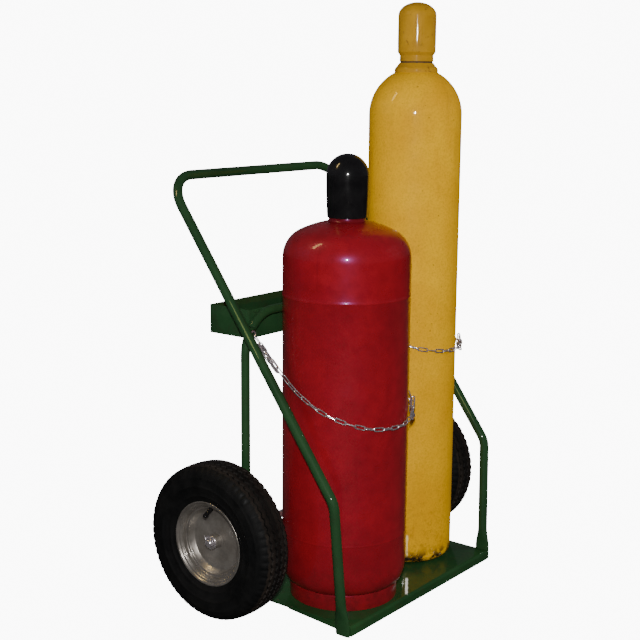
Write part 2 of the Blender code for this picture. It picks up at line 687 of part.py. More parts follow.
def red_head(inset, steps, crown_radii):
    """(radius, z) of the head from the wall up, set in by a distance all over."""
    knuckle = RED_KNUCKLE_RADIUS - inset
    points = arc(RED_RADIUS - RED_KNUCKLE_RADIUS, RED_KNUCKLE_Z, knuckle,
                 0.0, RED_KNUCKLE_SWEEP, steps)
    crown = RED_CROWN_RADIUS - inset
    points += [(r, RED_CROWN_Z + math.sqrt(crown ** 2 - r ** 2)) for r in crown_radii]
    return points


def red_shell_outline(groove_z, bottom_z):
    """(radius, z) of the shell from its bottom's centre round to the inside's."""
    bore, wall = RED_VALVE_BORE, RED_WALL
    under_neck_z = RED_NECK_TOP_Z - 0.0145
    outer = [(0.0, bottom_z), (RED_FOOT_RADIUS - 0.001, groove_z + 0.004)]
    knuckle_r, knuckle_width, knuckle_height = RED_LOW_KNUCKLE
    outer += arc(knuckle_r, groove_z + RED_LOW_KNUCKLE_RISE, knuckle_width, -70.0, 0.0, 6,
                 knuckle_height)
    outer += red_head(0.0, 6, (0.0900, 0.0680, 0.0490))
    outer += [(0.0445, RED_NECK_TOP_Z - 0.0070), (0.0435, RED_NECK_TOP_Z),
              (bore, RED_NECK_TOP_Z)]
    inner = [(bore, under_neck_z), (0.0300, under_neck_z)]
    inner += list(reversed(red_head(wall, 4, (0.0890, 0.0480))))
    inner += [(RED_RADIUS - wall, groove_z + 0.056), (RED_RADIUS - 0.0075, groove_z + 0.030),
              (RED_RADIUS - 0.016, groove_z + 0.012),
              (RED_FOOT_RADIUS - 0.004, groove_z + 0.006 + wall), (0.0, bottom_z + wall)]
    return outer + inner


def red_filler_outline(groove_z, bottom_z):
    lift = RED_WALL + FILLER_GAP
    outline = [(0.0, bottom_z + lift), (RED_FOOT_RADIUS - 0.006, groove_z + 0.007 + lift),
               (RED_RADIUS - 0.016, 0.116), (RED_RADIUS - lift, 0.130)]
    outline += red_head(lift + 0.001, 3, (0.0860,))
    return outline + [(0.0, RED_NECK_TOP_Z - 0.024)]


def make_cap_outline(base_z, top_z, base_radius, wide_radius, dome_height, collar_height):
    """Closed section of a domed cap, open at its mouth."""
    dome_z = top_z - dome_height
    outer = [(base_radius, base_z)]
    if collar_height > 0.0:
        outer += [(base_radius, base_z + collar_height),
                  (wide_radius, base_z + collar_height + 0.008)]
    outer += arc(0.0, dome_z, wide_radius, 0.0, 90.0, 6, dome_height)
    inner = arc(0.0, dome_z, wide_radius - CAP_WALL, 90.0, 0.0, 4, dome_height - CAP_WALL)
    inner += [(base_radius - CAP_WALL, base_z + collar_height + 0.006),
              (base_radius - CAP_WALL, base_z)]
    return outer + inner


def make_valve(label, origin, neck_top, bore, wheel_radius):
    """Brass valve body in the neck, with its side outlet and a handwheel."""
    base = neck_top - 0.014
    body, spindle = VALVE_BODY_RADIUS, VALVE_SPINDLE_RADIUS
    outline = [(0.0, base), (bore - FIT_GAP, base), (bore - FIT_GAP, neck_top + FIT_GAP),
               (body, neck_top + FIT_GAP), (body, neck_top + 0.052),
               (0.0120, neck_top + 0.056), (0.0120, neck_top + 0.072),
               (spindle, neck_top + 0.074), (spindle, neck_top + 0.094),
               (0.0, neck_top + 0.094)]
    turned(f"{label}_valve_body", outline, BARE_BRASS, SMALL_STEPS, parent=origin, closed=False)
    outlet_start = body + FIT_GAP
    outlet = [(0.0, outlet_start), (0.0105, outlet_start), (0.0105, 0.0330), (0.0, 0.0330)]
    piece = turned(f"{label}_valve_outlet", outlet, BARE_BRASS, SMALL_STEPS, axis="X",
                   parent=origin, closed=False)
    piece.location = (0, 0, neck_top + 0.032)
    hub_low, hub_high = neck_top + 0.0745, neck_top + 0.088
    bore_radius = spindle + FIT_GAP
    wheel = [(bore_radius, hub_low), (0.009, hub_low), (0.010, hub_low + 0.004),
             (wheel_radius - 0.005, hub_low + 0.004), (wheel_radius, hub_low + 0.001),
             (wheel_radius, hub_high - 0.003), (wheel_radius - 0.005, hub_high - 0.004),
             (0.010, hub_high - 0.004), (0.009, hub_high), (bore_radius, hub_high)]
    turned(f"{label}_handwheel", wheel, STEEL, SMALL_STEPS, parent=origin)


def make_yellow_cylinder():
    """Seamless oxygen cylinder: spun shoulder, concave base, neck ring, valve and cap."""
    origin = make_empty("yellow_cylinder_axis", (YELLOW_X, YELLOW_Y, 0.0))
    neck_top = YELLOW_NECK_Z + YELLOW_NECK_RISE
    turned("yellow_shell", yellow_shell_outline(neck_top), PAINT_YELLOW, CYLINDER_STEPS,
           parent=origin, closed=False)
    neck, ring_bore = YELLOW_NECK_Z, YELLOW_NECK_RADIUS + FIT_GAP
    outline = [(ring_bore, neck + 0.0030), (0.0480, neck + 0.0026), (0.0535, neck + 0.0004),
               (0.0540, neck + 0.0090), (0.0500, neck + 0.0170), (0.0420, neck_top),
               (ring_bore, neck_top)]
    turned("yellow_neck_ring", outline, PAINT_YELLOW, CYLINDER_STEPS, parent=origin)
    make_valve("yellow", origin, neck_top, YELLOW_VALVE_BORE, YELLOW_HANDWHEEL_RADIUS)
    cap = make_cap_outline(neck_top + YELLOW_CAP_GAP, YELLOW_CAP_TOP_Z, YELLOW_CAP_BASE_RADIUS,
                           YELLOW_CAP_WIDE_RADIUS, YELLOW_CAP_DOME, YELLOW_CAP_COLLAR)
    turned("yellow_cap", cap, PAINT_CAP_YELLOW, CAP_STEPS, parent=origin)


def yellow_shell_outline(neck_top):
    """(radius, z) from the concave base's centre round to the inside's."""
    floor_z = PLATE_TOP_Z + FIT_GAP
    bore, wall = YELLOW_VALVE_BORE, YELLOW_WALL
    outer = [(0.0, floor_z + 0.026), (0.055, floor_z + 0.016), (0.088, floor_z + 0.002)]
    outer += arc(YELLOW_RADIUS - 0.022, floor_z + 0.022, 0.022, -80.0, 0.0, 4)
    outer += ellipse_shoulder(YELLOW_RADIUS, YELLOW_SHOULDER_Z, YELLOW_DOME, 0.050, 6)
    outer += [(YELLOW_NECK_RADIUS, YELLOW_NECK_Z + 0.002), (YELLOW_NECK_RADIUS, neck_top),
              (bore, neck_top)]
    inner = [(bore, YELLOW_NECK_Z - 0.004), (0.030, YELLOW_NECK_Z - 0.004)]
    inner += list(reversed(ellipse_shoulder(YELLOW_RADIUS - wall, YELLOW_SHOULDER_Z,
                                            YELLOW_DOME - 0.010, 0.045, 4)))
    inner += [(YELLOW_RADIUS - wall, floor_z + 0.034), (0.088, floor_z + 0.012),
              (0.055, floor_z + 0.026), (0.0, floor_z + 0.036)]
    return outer + inner


def build():
    clear_scene()
    make_toe_plate()
    make_side_ribs()
    make_side_tubes()
    make_handle()
    make_rear_hoop()
    make_tray()
    make_axle()
    make_axle_brackets()
    make_chain_lugs()
    make_chains()
    make_axle_hardware()
    make_wheel(-1, "left")
    make_wheel(1, "right")
    make_red_cylinder()
    make_yellow_cylinder()


build()
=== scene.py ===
"""Looks of the loaded gas-cylinder cart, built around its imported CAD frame."""
import math
import random

import bmesh
import bpy
from mathutils import Matrix, Quaternion, Vector
from mathutils import noise


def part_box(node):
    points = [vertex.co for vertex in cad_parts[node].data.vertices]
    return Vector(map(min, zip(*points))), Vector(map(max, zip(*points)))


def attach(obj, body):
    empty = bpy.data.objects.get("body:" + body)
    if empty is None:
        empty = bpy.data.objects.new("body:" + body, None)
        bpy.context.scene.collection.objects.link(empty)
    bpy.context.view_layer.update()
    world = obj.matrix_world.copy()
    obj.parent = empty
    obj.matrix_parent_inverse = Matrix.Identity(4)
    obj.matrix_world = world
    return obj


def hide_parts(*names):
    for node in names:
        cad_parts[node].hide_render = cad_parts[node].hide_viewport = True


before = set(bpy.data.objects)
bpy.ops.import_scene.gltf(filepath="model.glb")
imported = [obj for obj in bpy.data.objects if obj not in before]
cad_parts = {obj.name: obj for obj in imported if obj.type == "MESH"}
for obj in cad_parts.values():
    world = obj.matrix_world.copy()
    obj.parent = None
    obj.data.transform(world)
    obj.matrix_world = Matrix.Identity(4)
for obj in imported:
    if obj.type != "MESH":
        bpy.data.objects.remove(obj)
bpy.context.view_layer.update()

random.seed(4)
MM = 0.001

# ---- camera ----
CAMERA_PLACE = Vector((-2.45176, -1.86502, 1.26543))
CAMERA_YAW, CAMERA_PITCH, CAMERA_ROLL = 0.9053, 0.1912, 0.0071
CAMERA_LENS, SENSOR_WIDTH = 69.155, 36.0       # millimetres


def put(name, data):
    """Add an object to the scene."""
    made = bpy.data.objects.new(name, data)
    bpy.context.scene.collection.objects.link(made)
    return made


def make_camera():
    ahead = Vector((math.sin(CAMERA_YAW) * math.cos(CAMERA_PITCH),
                    math.cos(CAMERA_YAW) * math.cos(CAMERA_PITCH), -math.sin(CAMERA_PITCH)))
    level = Vector((math.cos(CAMERA_YAW), -math.sin(CAMERA_YAW), 0.0))
    upright = level.cross(ahead)
    right = level * math.cos(CAMERA_ROLL) + upright * math.sin(CAMERA_ROLL)
    up = upright * math.cos(CAMERA_ROLL) - level * math.sin(CAMERA_ROLL)
    turn = Matrix((right, up, -ahead)).transposed().to_4x4()
    data = bpy.data.cameras.new("camera")
    data.lens = CAMERA_LENS
    data.sensor_width = SENSOR_WIDTH
    camera = put("camera", data)
    camera.matrix_world = Matrix.Translation(CAMERA_PLACE) @ turn
    bpy.context.scene.camera = camera


make_camera()


# ---- materials ----
LOOKS = {}                 # every material by its name


class Nodes:
    """One procedural material, built up from below: clouds, then layers, then gloss.

    A noise is given as (scale, detail, roughness, distortion, coordinates), of which
    the last three may be left out.
    """

    def __init__(self, name):
        material = bpy.data.materials.new(name)
        material.use_nodes = True
        self.tree = material.node_tree
        self.shader = self.tree.nodes["Principled BSDF"]
        self.coords = self.add("ShaderNodeTexCoord").outputs["Object"]
        LOOKS[name] = material

    def add(self, kind, inputs=(), **settings):
        node = self.tree.nodes.new(kind)
        for key, value in settings.items():
            setattr(node, key, value)
        for key, value in dict(inputs).items():
            self.feed(node.inputs[key], value)
        return node

    def feed(self, socket, value):
        """Set a socket to a number or a colour, or link another node's output to it."""
        if isinstance(value, bpy.types.NodeSocket):
            self.tree.links.new(value, socket)
        else:
            socket.default_value = (*value, 1.0) if socket.type == "RGBA" else value

    def scaled(self, scale, offset=(0.0, 0.0, 0.0)):
        """Object coordinates, stretched."""
        inputs = {"Scale": scale, "Location": offset, "Vector": self.coords}
        return self.add("ShaderNodeMapping", inputs).outputs["Vector"]

    def noise(self, scale, detail, rough=0.55, distortion=0.0, coords=None):
        inputs = {"Scale": scale, "Detail": detail, "Roughness": rough,
                  "Distortion": distortion, "Vector": coords or self.coords}
        return self.add("ShaderNodeTexNoise", inputs).outputs["Fac"]

    def ramp(self, value, start, full, amount=1.0, base=0.0):
        """A grey that goes from base, where the value is start, to amount, at full."""
        node = self.add("ShaderNodeValToRGB", {"Fac": value})
        for element, place, grey in zip(node.color_ramp.elements, (start, full), (base, amount)):
            element.position = place
            element.color = (grey, grey, grey, 1.0)
        return node.outputs["Color"]

    def math(self, operation, *values):
        return self.add("ShaderNodeMath", enumerate(values), operation=operation).outputs["Value"]

    def product(self, a, b):
        return self.math("MULTIPLY", a, b)

    def total(self, a, b):
        return self.math("ADD", a, b)

    def mix(self, factor, a, b):
        return self.add("ShaderNodeMix", {0: factor, 6: a, 7: b}, data_type="RGBA").outputs[2]

    def map_range(self, value, low, high, to_low=0.0, to_high=1.0):
        inputs = {"Value": value, "From Min": low, "From Max": high, "To Min": to_low,
                  "To Max": to_high}
        return self.add("ShaderNodeMapRange", inputs).outputs["Result"]

    def axis(self, letter):
        return self.add("ShaderNodeSeparateXYZ", {"Vector": self.coords}).outputs[letter]

    def radius_about_x(self):
        """Distance from the object's own X axis."""
        y, z = self.axis("Y"), self.axis("Z")
        return self.math("SQRT", self.total(self.product(y, y), self.product(z, z)))

    def wear_and_reflection_patch(self, direction, centre, half_width, along, heights, ragged):
        """A ragged-edged patch, 1 inside: a strip beside a level line, within heights.

        direction is the line's (x, y), centre the line's offset to its left, and along
        the (from, to) distances on the line; all are in object coordinates.
        """
        x, y, z = (self.axis(letter) for letter in "XYZ")
        forward = self.total(self.product(x, direction[0]), self.product(y, direction[1]))
        sideways = self.total(self.product(x, -direction[1]), self.product(y, direction[0]))
        edge = self.product(self.total(self.noise(*ragged), -0.5), half_width)
        offset = self.math("ABSOLUTE", self.total(sideways, -centre))
        inside = self.map_range(self.total(offset, edge), half_width * 0.75, half_width, 1.0, 0.0)
        for value, (low, high), soft in ((forward, along, 0.012), (z, heights, 0.006)):
            start = self.map_range(self.total(value, edge), low, low + soft)
            stop = self.map_range(self.total(value, edge), high - soft, high, 1.0, 0.0)
            inside = self.product(inside, self.product(start, stop))
        return inside

    def clouds(self, noise, low, high, dark, light):
        """Start the colour: clouds from dark, where the noise is low, to light."""
        self.cloud = self.noise(*noise)
        self.colour = self.mix(self.map_range(self.cloud, low, high), dark, light)

    def over(self, factor, colour):
        self.colour = self.mix(factor, self.colour, colour)

    def spots(self, noise, start, full, amount, colour, within=1.0):
        """Lay a colour over where a noise is high; within is a mask or a share."""
        self.over(self.product(within, self.ramp(self.noise(*noise), start, full, amount)), colour)

    def finish(self, rough, *bumps, **sockets):
        """Fill in the shader; bumps are (noise, strength, distance in metres)."""
        normal = None
        for height, strength, distance in bumps:
            node = self.add("ShaderNodeBump", {"Strength": strength, "Distance": distance,
                                               "Height": self.noise(*height)})
            if normal is not None:
                self.feed(node.inputs["Normal"], normal)
            normal = node.outputs["Normal"]
        sockets.update(Base_Color=self.colour, Roughness=rough, Normal=normal)
        for name, value in sockets.items():
            self.feed(self.shader.inputs[name.replace("_", " ")], value)


# Directions are those of a level line from the front left to the back right.
STREAK_DIRECTION = (0.831, 0.556)
# On the plate, a pale streak painted as the reflection of the yellow cylinder's worn patch.
PLATE_PAINTED_REFLECTION = dict(direction=STREAK_DIRECTION, centre=-0.188, half_width=0.0038,
                    along=(-0.215, -0.105), heights=(0.01, 0.04), ragged=(90.0, 3.0))
YELLOW_SCRAPE = dict(direction=STREAK_DIRECTION, centre=-0.0022, half_width=0.003,
                     along=(-0.125, -0.1), heights=(0.03, 0.108), ragged=(70.0, 3.0))
GREEN_PRIMER = (0.05, 0.035, 0.02)


def enamel(name, dark, light, primer, chips, gloss=(0.42, 0.6), coat=0.35,
           grime=(0.02, 0.015, 0.01), grime_amount=0.25, reflection_patch=None):
    """Glossy enamel over steel: mottled, a little dusty, with small chips, and where given a pale
    streak painted on as a reflection.
    """
    n = Nodes(name)
    n.clouds((9.0, 5.0, 0.6), 0.32, 0.68, dark, light)
    n.spots((26.0, 6.0, 0.7, 0.6), 0.52, 0.74, 1.0, grime, within=grime_amount)
    n.spots((46.0, 7.0, 0.72), 0.7 - chips, 0.715 - chips, 1.0, primer)
    # Where given, a pale streak painted on as a reflection.
    if reflection_patch:
        n.over(n.wear_and_reflection_patch(**reflection_patch), (0.8, 0.82, 0.78))
    mottle = n.total(n.product(n.cloud, 0.6), n.product(n.noise(70.0, 4.0, 0.6), 0.4))
    n.finish(n.map_range(mottle, 0.35, 0.65, *gloss), ((18.0, 2.0, 0.5), 0.25, 0.0006),
             ((420.0, 2.0, 0.5), 0.12, 0.0003), Coat_Weight=coat, Coat_Roughness=0.045,
             Specular_IOR_Level=0.04)


def red_paint():
    n = Nodes("red_paint")
    n.clouds((7.0, 6.0, 0.65, 0.4), 0.35, 0.66, (0.155, 0.006, 0.009), (0.22, 0.0078, 0.012))
    mottle = n.noise(38.0, 5.0, 0.65)
    n.over(n.map_range(mottle, 0.4, 0.72, 0.0, 0.35), (0.105, 0.004, 0.006))
    streaks = (30.0, 5.0, 0.6, 0.0, n.scaled((1.0, 1.0, 0.12)))
    n.spots(streaks, 0.6, 0.8, 0.35, (0.085, 0.004, 0.006))
    n.spots((55.0, 8.0, 0.75), 0.715, 0.735, 0.6, (0.34, 0.05, 0.05))
    low = n.map_range(n.axis("Z"), 0.03, 0.16, 0.55, 0.0)
    n.over(n.product(low, n.map_range(mottle, 0.3, 0.7)), (0.045, 0.006, 0.006))
    # Painted shade: the neck top darkened where it sits under the cap.
    n.over(n.map_range(n.axis("Z"), 0.942, 0.948, 0.0, 0.8), (0.06, 0.004, 0.006))
    n.finish(n.map_range(n.noise(24.0, 5.0, 0.6), 0.35, 0.7, 0.26, 0.36),
             ((10.0, 3.0, 0.5), 0.35, 0.0016), ((260.0, 2.0, 0.5), 0.16, 0.0004),
             Specular_Tint=(0.7, 0.3, 1.0), Coat_Weight=0.23, Coat_Roughness=0.07,
             Specular_IOR_Level=0.15)


def yellow_paint():
    n = Nodes("yellow_paint")
    n.clouds((6.0, 6.0, 0.62, 0.3), 0.34, 0.66, (0.58, 0.284, 0.002), (0.705, 0.38, 0.003))
    n.spots((210.0, 3.0, 0.6), 0.42, 0.66, 0.35, (0.3, 0.165, 0.006))
    streaks = (22.0, 5.0, 0.6, 0.0, n.scaled((1.0, 1.0, 0.1), (3.1, 0.4, 0.0)))
    n.spots(streaks, 0.56, 0.78, 0.3, (0.3, 0.14, 0.01))
    n.spots((95.0, 6.0, 0.7), 0.645, 0.69, 0.85, (0.12, 0.055, 0.012))
    worn = n.map_range(n.axis("Z"), 0.03, 0.3, 0.6, 0.0)
    n.spots((60.0, 7.0, 0.75), 0.48, 0.66, 1.0, (0.23, 0.105, 0.012), within=worn)
    spotty = n.ramp(n.noise(120.0, 3.0, 0.6), 0.36, 0.52, base=0.35)
    n.over(n.product(n.wear_and_reflection_patch(**YELLOW_SCRAPE), spotty), (0.95, 0.8, 0.42))
    low = n.map_range(n.axis("Z"), 0.042, 0.072, 1.0, 0.0)
    n.spots((36.0, 7.0, 0.7), 0.44, 0.54, 1.0, (0.016, 0.01, 0.006), within=low)
    n.spots((88.0, 5.0, 0.7), 0.62, 0.68, 0.5, (0.75, 0.62, 0.4), within=low)
    n.finish(n.map_range(n.noise(30.0, 5.0, 0.6), 0.35, 0.7, 0.44, 0.62),
             ((9.0, 3.0, 0.5), 0.3, 0.0016), ((230.0, 2.0, 0.5), 0.18, 0.0004),
             Coat_Weight=0.26, Coat_Roughness=0.075, Specular_IOR_Level=0.04)


def cap_yellow_paint():
    n = Nodes("cap_yellow_paint")
    n.clouds((16.0, 6.0, 0.65, 0.4), 0.34, 0.66, (0.3, 0.152, 0.009), (0.42, 0.22, 0.012))
    n.spots((70.0, 7.0, 0.72), 0.6, 0.66, 0.8, (0.12, 0.06, 0.014))
    n.finish(n.map_range(n.noise(34.0, 5.0, 0.6), 0.35, 0.7, 0.42, 0.62),
             ((26.0, 3.0, 0.5), 0.03, 0.0008), ((240.0, 2.0, 0.5), 0.06, 0.0004),
             Coat_Weight=0.12, Coat_Roughness=0.055, Specular_IOR_Level=0.04)


def black_paint():
    n = Nodes("black_paint")
    n.clouds((24.0, 6.0, 0.65), 0.35, 0.7, (0.004, 0.0038, 0.0042), (0.008, 0.0078, 0.0082))
    # Pale flecks: partly dusty specks, partly painted glints.
    n.spots((120.0, 7.0, 0.75), 0.66, 0.7, 0.6, (0.06, 0.055, 0.05))
    n.finish(n.map_range(n.cloud, 0.35, 0.7, 0.1, 0.26), ((30.0, 3.0, 0.5), 0.35, 0.0008),
             ((300.0, 2.0, 0.5), 0.1, 0.0003), Coat_Weight=0.42, Coat_Roughness=0.06,
             Specular_IOR_Level=0.08)


def tyre_rubber():
    """Black rubber, dusty brown on the tread and less so across its middle; that brown is partly a
    painted highlight on the rib tops.
    """
    n = Nodes("tyre_rubber")
    n.clouds((30.0, 6.0, 0.65), 0.35, 0.68, (0.0024, 0.0026, 0.0028), (0.0048, 0.0048, 0.005))
    # Dusty brown on the rib tops, partly a painted highlight along them.
    dust_and_rib_highlight = n.ramp(n.noise(34.0, 6.0, 0.7), 0.36, 0.62, base=0.25)
    outboard = n.map_range(n.math("ABSOLUTE", n.axis("X")), 0.006, 0.026, 0.25, 1.0)
    tread = n.product(n.map_range(n.radius_about_x(), 0.1855, 0.1872), outboard)
    n.over(n.product(n.product(tread, dust_and_rib_highlight), 0.55), (0.034, 0.025, 0.019))
    n.over(n.map_range(n.noise(12.0, 5.0, 0.7), 0.45, 0.75, 0.0, 0.35), (0.009, 0.0085, 0.008))
    n.finish(n.map_range(n.cloud, 0.35, 0.7, 0.5, 0.78), ((160.0, 4.0, 0.6), 0.15, 0.0004),
             ((900.0, 2.0, 0.5), 0.15, 0.0002), Specular_IOR_Level=0.08)


def rim_silver():
    """Dull silver paint, duller on the disc than on the rim's folds."""
    n = Nodes("rim_silver")
    n.clouds((26.0, 6.0, 0.65), 0.35, 0.68, (0.165, 0.15, 0.132), (0.27, 0.252, 0.23))
    n.spots((60.0, 7.0, 0.72), 0.64, 0.76, 0.35, (0.105, 0.065, 0.036))
    dull_middle = n.map_range(n.radius_about_x(), 0.058, 0.08, 0.2, 0.0)
    patchy = n.map_range(n.noise(75.0, 5.0, 0.6), 0.35, 0.7, 0.26, 0.38)
    n.finish(n.total(dull_middle, patchy), ((40.0, 2.0, 0.5), 0.02, 0.0004), Metallic=0.75)


def metal(name, scale, dark, light, rough, bump, rust=None, metallic=1.0):
    """Bare or plated metal; rust is the arguments of its spots."""
    n = Nodes(name)
    n.clouds((scale, 5.0, 0.65), 0.35, 0.68, dark, light)
    if rust:
        n.spots(*rust)
    n.finish(n.map_range(n.cloud, 0.35, 0.7, *rough), bump, Metallic=metallic)


def matt(name, dark, light, scale):
    """A dull surface for pieces that other pieces hide."""
    n = Nodes(name)
    n.clouds((scale, 5.0, 0.65), 0.35, 0.68, dark, light)
    n.finish(n.map_range(n.cloud, 0.35, 0.7, 0.7, 0.9), ((scale * 4.0, 4.0, 0.6), 0.3, 0.0004))


enamel("green_paint", (0.0102, 0.0345, 0.0122), (0.0155, 0.049, 0.0165), GREEN_PRIMER, 0.012,
       coat=0.45)
# Pale green of the tube ridges: a painted highlight.
enamel("highlight_green_paint", (0.075, 0.118, 0.036), (0.13, 0.18, 0.06), (0.05, 0.04, 0.02), 0.05)
enamel("tray_green_paint", (0.0095, 0.0325, 0.0115), (0.0145, 0.046, 0.016), GREEN_PRIMER,
       0.02, coat=0.3, grime_amount=0.4)
enamel("plate_green_paint", (0.009, 0.035, 0.011), (0.014, 0.05, 0.015),
       (0.06, 0.045, 0.03), 0.04, gloss=(0.3, 0.5), coat=0.45, grime=(0.03, 0.022, 0.01),
       grime_amount=0.5, reflection_patch=PLATE_PAINTED_REFLECTION)
red_paint()
yellow_paint()
cap_yellow_paint()
black_paint()
tyre_rubber()
rim_silver()
metal("zinc", 170.0, (0.46, 0.43, 0.45), (0.74, 0.7, 0.72), (0.16, 0.36),
      ((700.0, 3.0, 0.6), 0.2, 0.0002), metallic=0.88,
      rust=((60.0, 6.0, 0.7), 0.54, 0.7, 0.6, (0.15, 0.13, 0.12)))
metal("steel", 60.0, (0.23, 0.225, 0.225), (0.38, 0.375, 0.37), (0.28, 0.5),
      ((300.0, 4.0, 0.6), 0.2, 0.0003),
      rust=((85.0, 7.0, 0.7), 0.58, 0.68, 0.7, (0.11, 0.055, 0.028)))
metal("brass", 70.0, (0.42, 0.265, 0.08), (0.58, 0.4, 0.14), (0.24, 0.44),
      ((420.0, 3.0, 0.6), 0.12, 0.0002))
matt("tube_rubber", (0.006, 0.006, 0.006), (0.014, 0.014, 0.014), 60.0)
matt("porous_filler", (0.26, 0.24, 0.21), (0.36, 0.34, 0.31), 90.0)


# ---- mesh helpers ----
def finish_piece(name, bm, look, body, nodes=(), origin=None, sharp_deg=32.0):
    """Turn a bmesh into a piece that rides on a body and stands for CAD nodes.

    The mesh is in the row frame; with an origin, the object sits there instead, so
    that its Object coordinates start from its own axis. Its one slot holds the look.
    """
    bmesh.ops.recalc_face_normals(bm, faces=bm.faces[:])
    mesh = bpy.data.meshes.new(name)
    bm.to_mesh(mesh)
    bm.free()
    mesh.shade_smooth()
    mesh.set_sharp_from_angle(angle=math.radians(sharp_deg))
    mesh.materials.append(LOOKS[look])
    piece = put(name, mesh)
    if origin is not None:
        mesh.transform(Matrix.Translation(-Vector(origin)))
        piece.location = origin
    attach(piece, body)
    if nodes:
        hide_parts(*nodes)
    return piece


def rounded(outline, steps=4):
    """Round an outline's corners; points are (a, b) or (a, b, radius)."""
    points = []
    for i, item in enumerate(outline):
        corner = Vector(item[:2])
        radius = item[2] if len(item) > 2 else 0.0
        if radius <= 0.0 or i in (0, len(outline) - 1):
            points.append(tuple(corner))
            continue
        before = Vector(outline[i - 1][:2]) - corner
        after = Vector(outline[i + 1][:2]) - corner
        half = before.angle(after) / 2.0
        reach = min(radius / math.tan(half), before.length * 0.49, after.length * 0.49)
        start = corner + before.normalized() * reach
        end = corner + after.normalized() * reach
        for k in range(steps + 1):
            t = k / steps
            point = start * (1 - t) ** 2 + corner * (2 * t * (1 - t)) + end * t ** 2
            points.append(tuple(point))
    return points


def angles(count, start_deg=0.0, end_deg=360.0):
    """count + 1 angles in radians, from a start to an end in degrees."""
    return [math.radians(start_deg + (end_deg - start_deg) * i / count) for i in range(count + 1)]


def arc(centre_a, centre_b, radius, start_deg, end_deg, steps, height=None):
    """Outline points on an arc, or on an ellipse of another height."""
    height = radius if height is None else height
    return [(centre_a + radius * math.cos(a), centre_b + height * math.sin(a))
            for a in angles(steps, start_deg, end_deg)]


def lathe(bm, outline, steps, centre, axis="Z", side=1.0, closed=True, shape=None):
    """Spin (radius, height) points about an axis through a centre.

    shape(radius, height, angle) may return a changed (radius, height).
    """
    centre = Vector(centre)

    def spot(height, a=0.0, b=0.0):
        return centre + Vector((height * side, a, b) if axis == "X" else (a, b, height))

    rings = []
    for r, h in outline:
        if r < 1e-7:
            rings.append([bm.verts.new(spot(h))])
            continue
        ring = []
        for k in range(steps):
            angle = 2.0 * math.pi * k / steps
            rr, hh = (r, h) if shape is None else shape(r, h, angle)
            ring.append(bm.verts.new(spot(hh, rr * math.cos(angle), rr * math.sin(angle))))
        rings.append(ring)
    join_rings(bm, rings, closed)


def join_rings(bm, rings, closed):
    """Skin neighbouring rings with faces; a ring may be a single point."""
    for first, second in zip(rings, rings[1:] + rings[:1] if closed else rings[1:]):
        count = max(len(first), len(second))
        for k in range(count if count > 1 else 0):
            n = (k + 1) % count
            if len(first) == 1:
                bm.faces.new((first[0], second[n], second[k]))
            elif len(second) == 1:
                bm.faces.new((first[k], first[n], second[0]))
            else:
                bm.faces.new((first[k], first[n], second[n], second[k]))


def turned_piece(name, outline, steps, centre, look, body, nodes=(), slot=None,
                 own_origin=True, sharp_deg=32.0, **lathe_options):
    """A piece spun on the lathe, with its origin on its own axis unless told otherwise."""
    bm = bmesh.new()
    lathe(bm, outline, steps, centre, **lathe_options)
    finish_piece(name, bm, look, body, nodes, centre if own_origin else None, sharp_deg)


def bend(before, corner, after, radius, steps):
    """Points of a round bend of the given radius at a corner of a path."""
    toward_start = (before - corner).normalized()
    toward_end = (after - corner).normalized()
    half = toward_start.angle(toward_end) / 2.0
    centre = corner + (toward_start + toward_end).normalized() * (radius / math.sin(half))
    first = corner + toward_start * (radius / math.tan(half)) - centre
    last = corner + toward_end * (radius / math.tan(half)) - centre
    normal = first.cross(last).normalized()
    opening = first.angle(last)
    return [centre + Matrix.Rotation(opening * i / steps, 3, normal) @ first
            for i in range(steps + 1)]


def sweep(bm, stations, sides, first_axis, closed=False, level_ends=False):
    """Loft elliptic sections of (point, half_width, half_thickness) along a path."""
    points = [s[0] for s in stations]
    count = len(points)
    thick_axis = Vector(first_axis)
    rings = []
    for i, (point, half_width, half_thickness) in enumerate(stations):
        ahead = points[(i + 1) % count] if closed else points[min(i + 1, count - 1)]
        behind = points[i - 1] if closed or i > 0 else points[0]
        along = (ahead - behind).normalized()
        thick_axis = (thick_axis - along * thick_axis.dot(along)).normalized()
        wide_axis = along.cross(thick_axis)
        rings.append([bm.verts.new(point + wide_axis * (half_width * math.cos(a))
                                   + thick_axis * (half_thickness * math.sin(a)))
                      for a in angles(sides)[:-1]])
    join_rings(bm, rings, closed)
    if level_ends:
        for ring, point in ((rings[0], points[0]), (rings[-1], points[-1])):
            for vert in ring:
                vert.co.z = point.z
    if not closed:
        bm.faces.new(list(reversed(rings[0])))
        bm.faces.new(rings[-1])


def path_length(points):
    return sum((b - a).length for a, b in zip(points, points[1:]))


def sweep_wire(bm, points, radius, sides, first_axis, **options):
    """Sweep a round section of one radius along points."""
    sweep(bm, [(p, radius, radius) for p in points], sides, first_axis, **options)


def box_verts(bm, low, high):
    verts = bmesh.ops.create_cube(bm, size=1.0)["verts"]
    bmesh.ops.scale(bm, vec=high - low, verts=verts)
    bmesh.ops.translate(bm, vec=(high + low) / 2.0, verts=verts)
    return verts


def round_edges(bm, edges, offset, segments=2):
    bmesh.ops.bevel(bm, geom=edges, offset=offset, segments=segments, affect="EDGES", profile=0.5)


def cut_piece(name, outline, low_x, high_x, bevel, look, nodes):
    """A frame piece: a closed (y, z) outline extruded along X, its end rims rounded."""
    bm = bmesh.new()
    first = [bm.verts.new((low_x, y, z)) for y, z in outline]
    second = [bm.verts.new((high_x, y, z)) for y, z in outline]
    ends = [bm.faces.new(first), bm.faces.new(list(reversed(second)))]
    for k in range(len(outline)):
        n = (k + 1) % len(outline)
        bm.faces.new((first[n], first[k], second[k], second[n]))
    round_edges(bm, [edge for face in ends for edge in face.edges], bevel)
    frame_piece(name, bm, nodes, look)


BEAD_PITCH = 0.0035        # from one ripple of a weld to the next


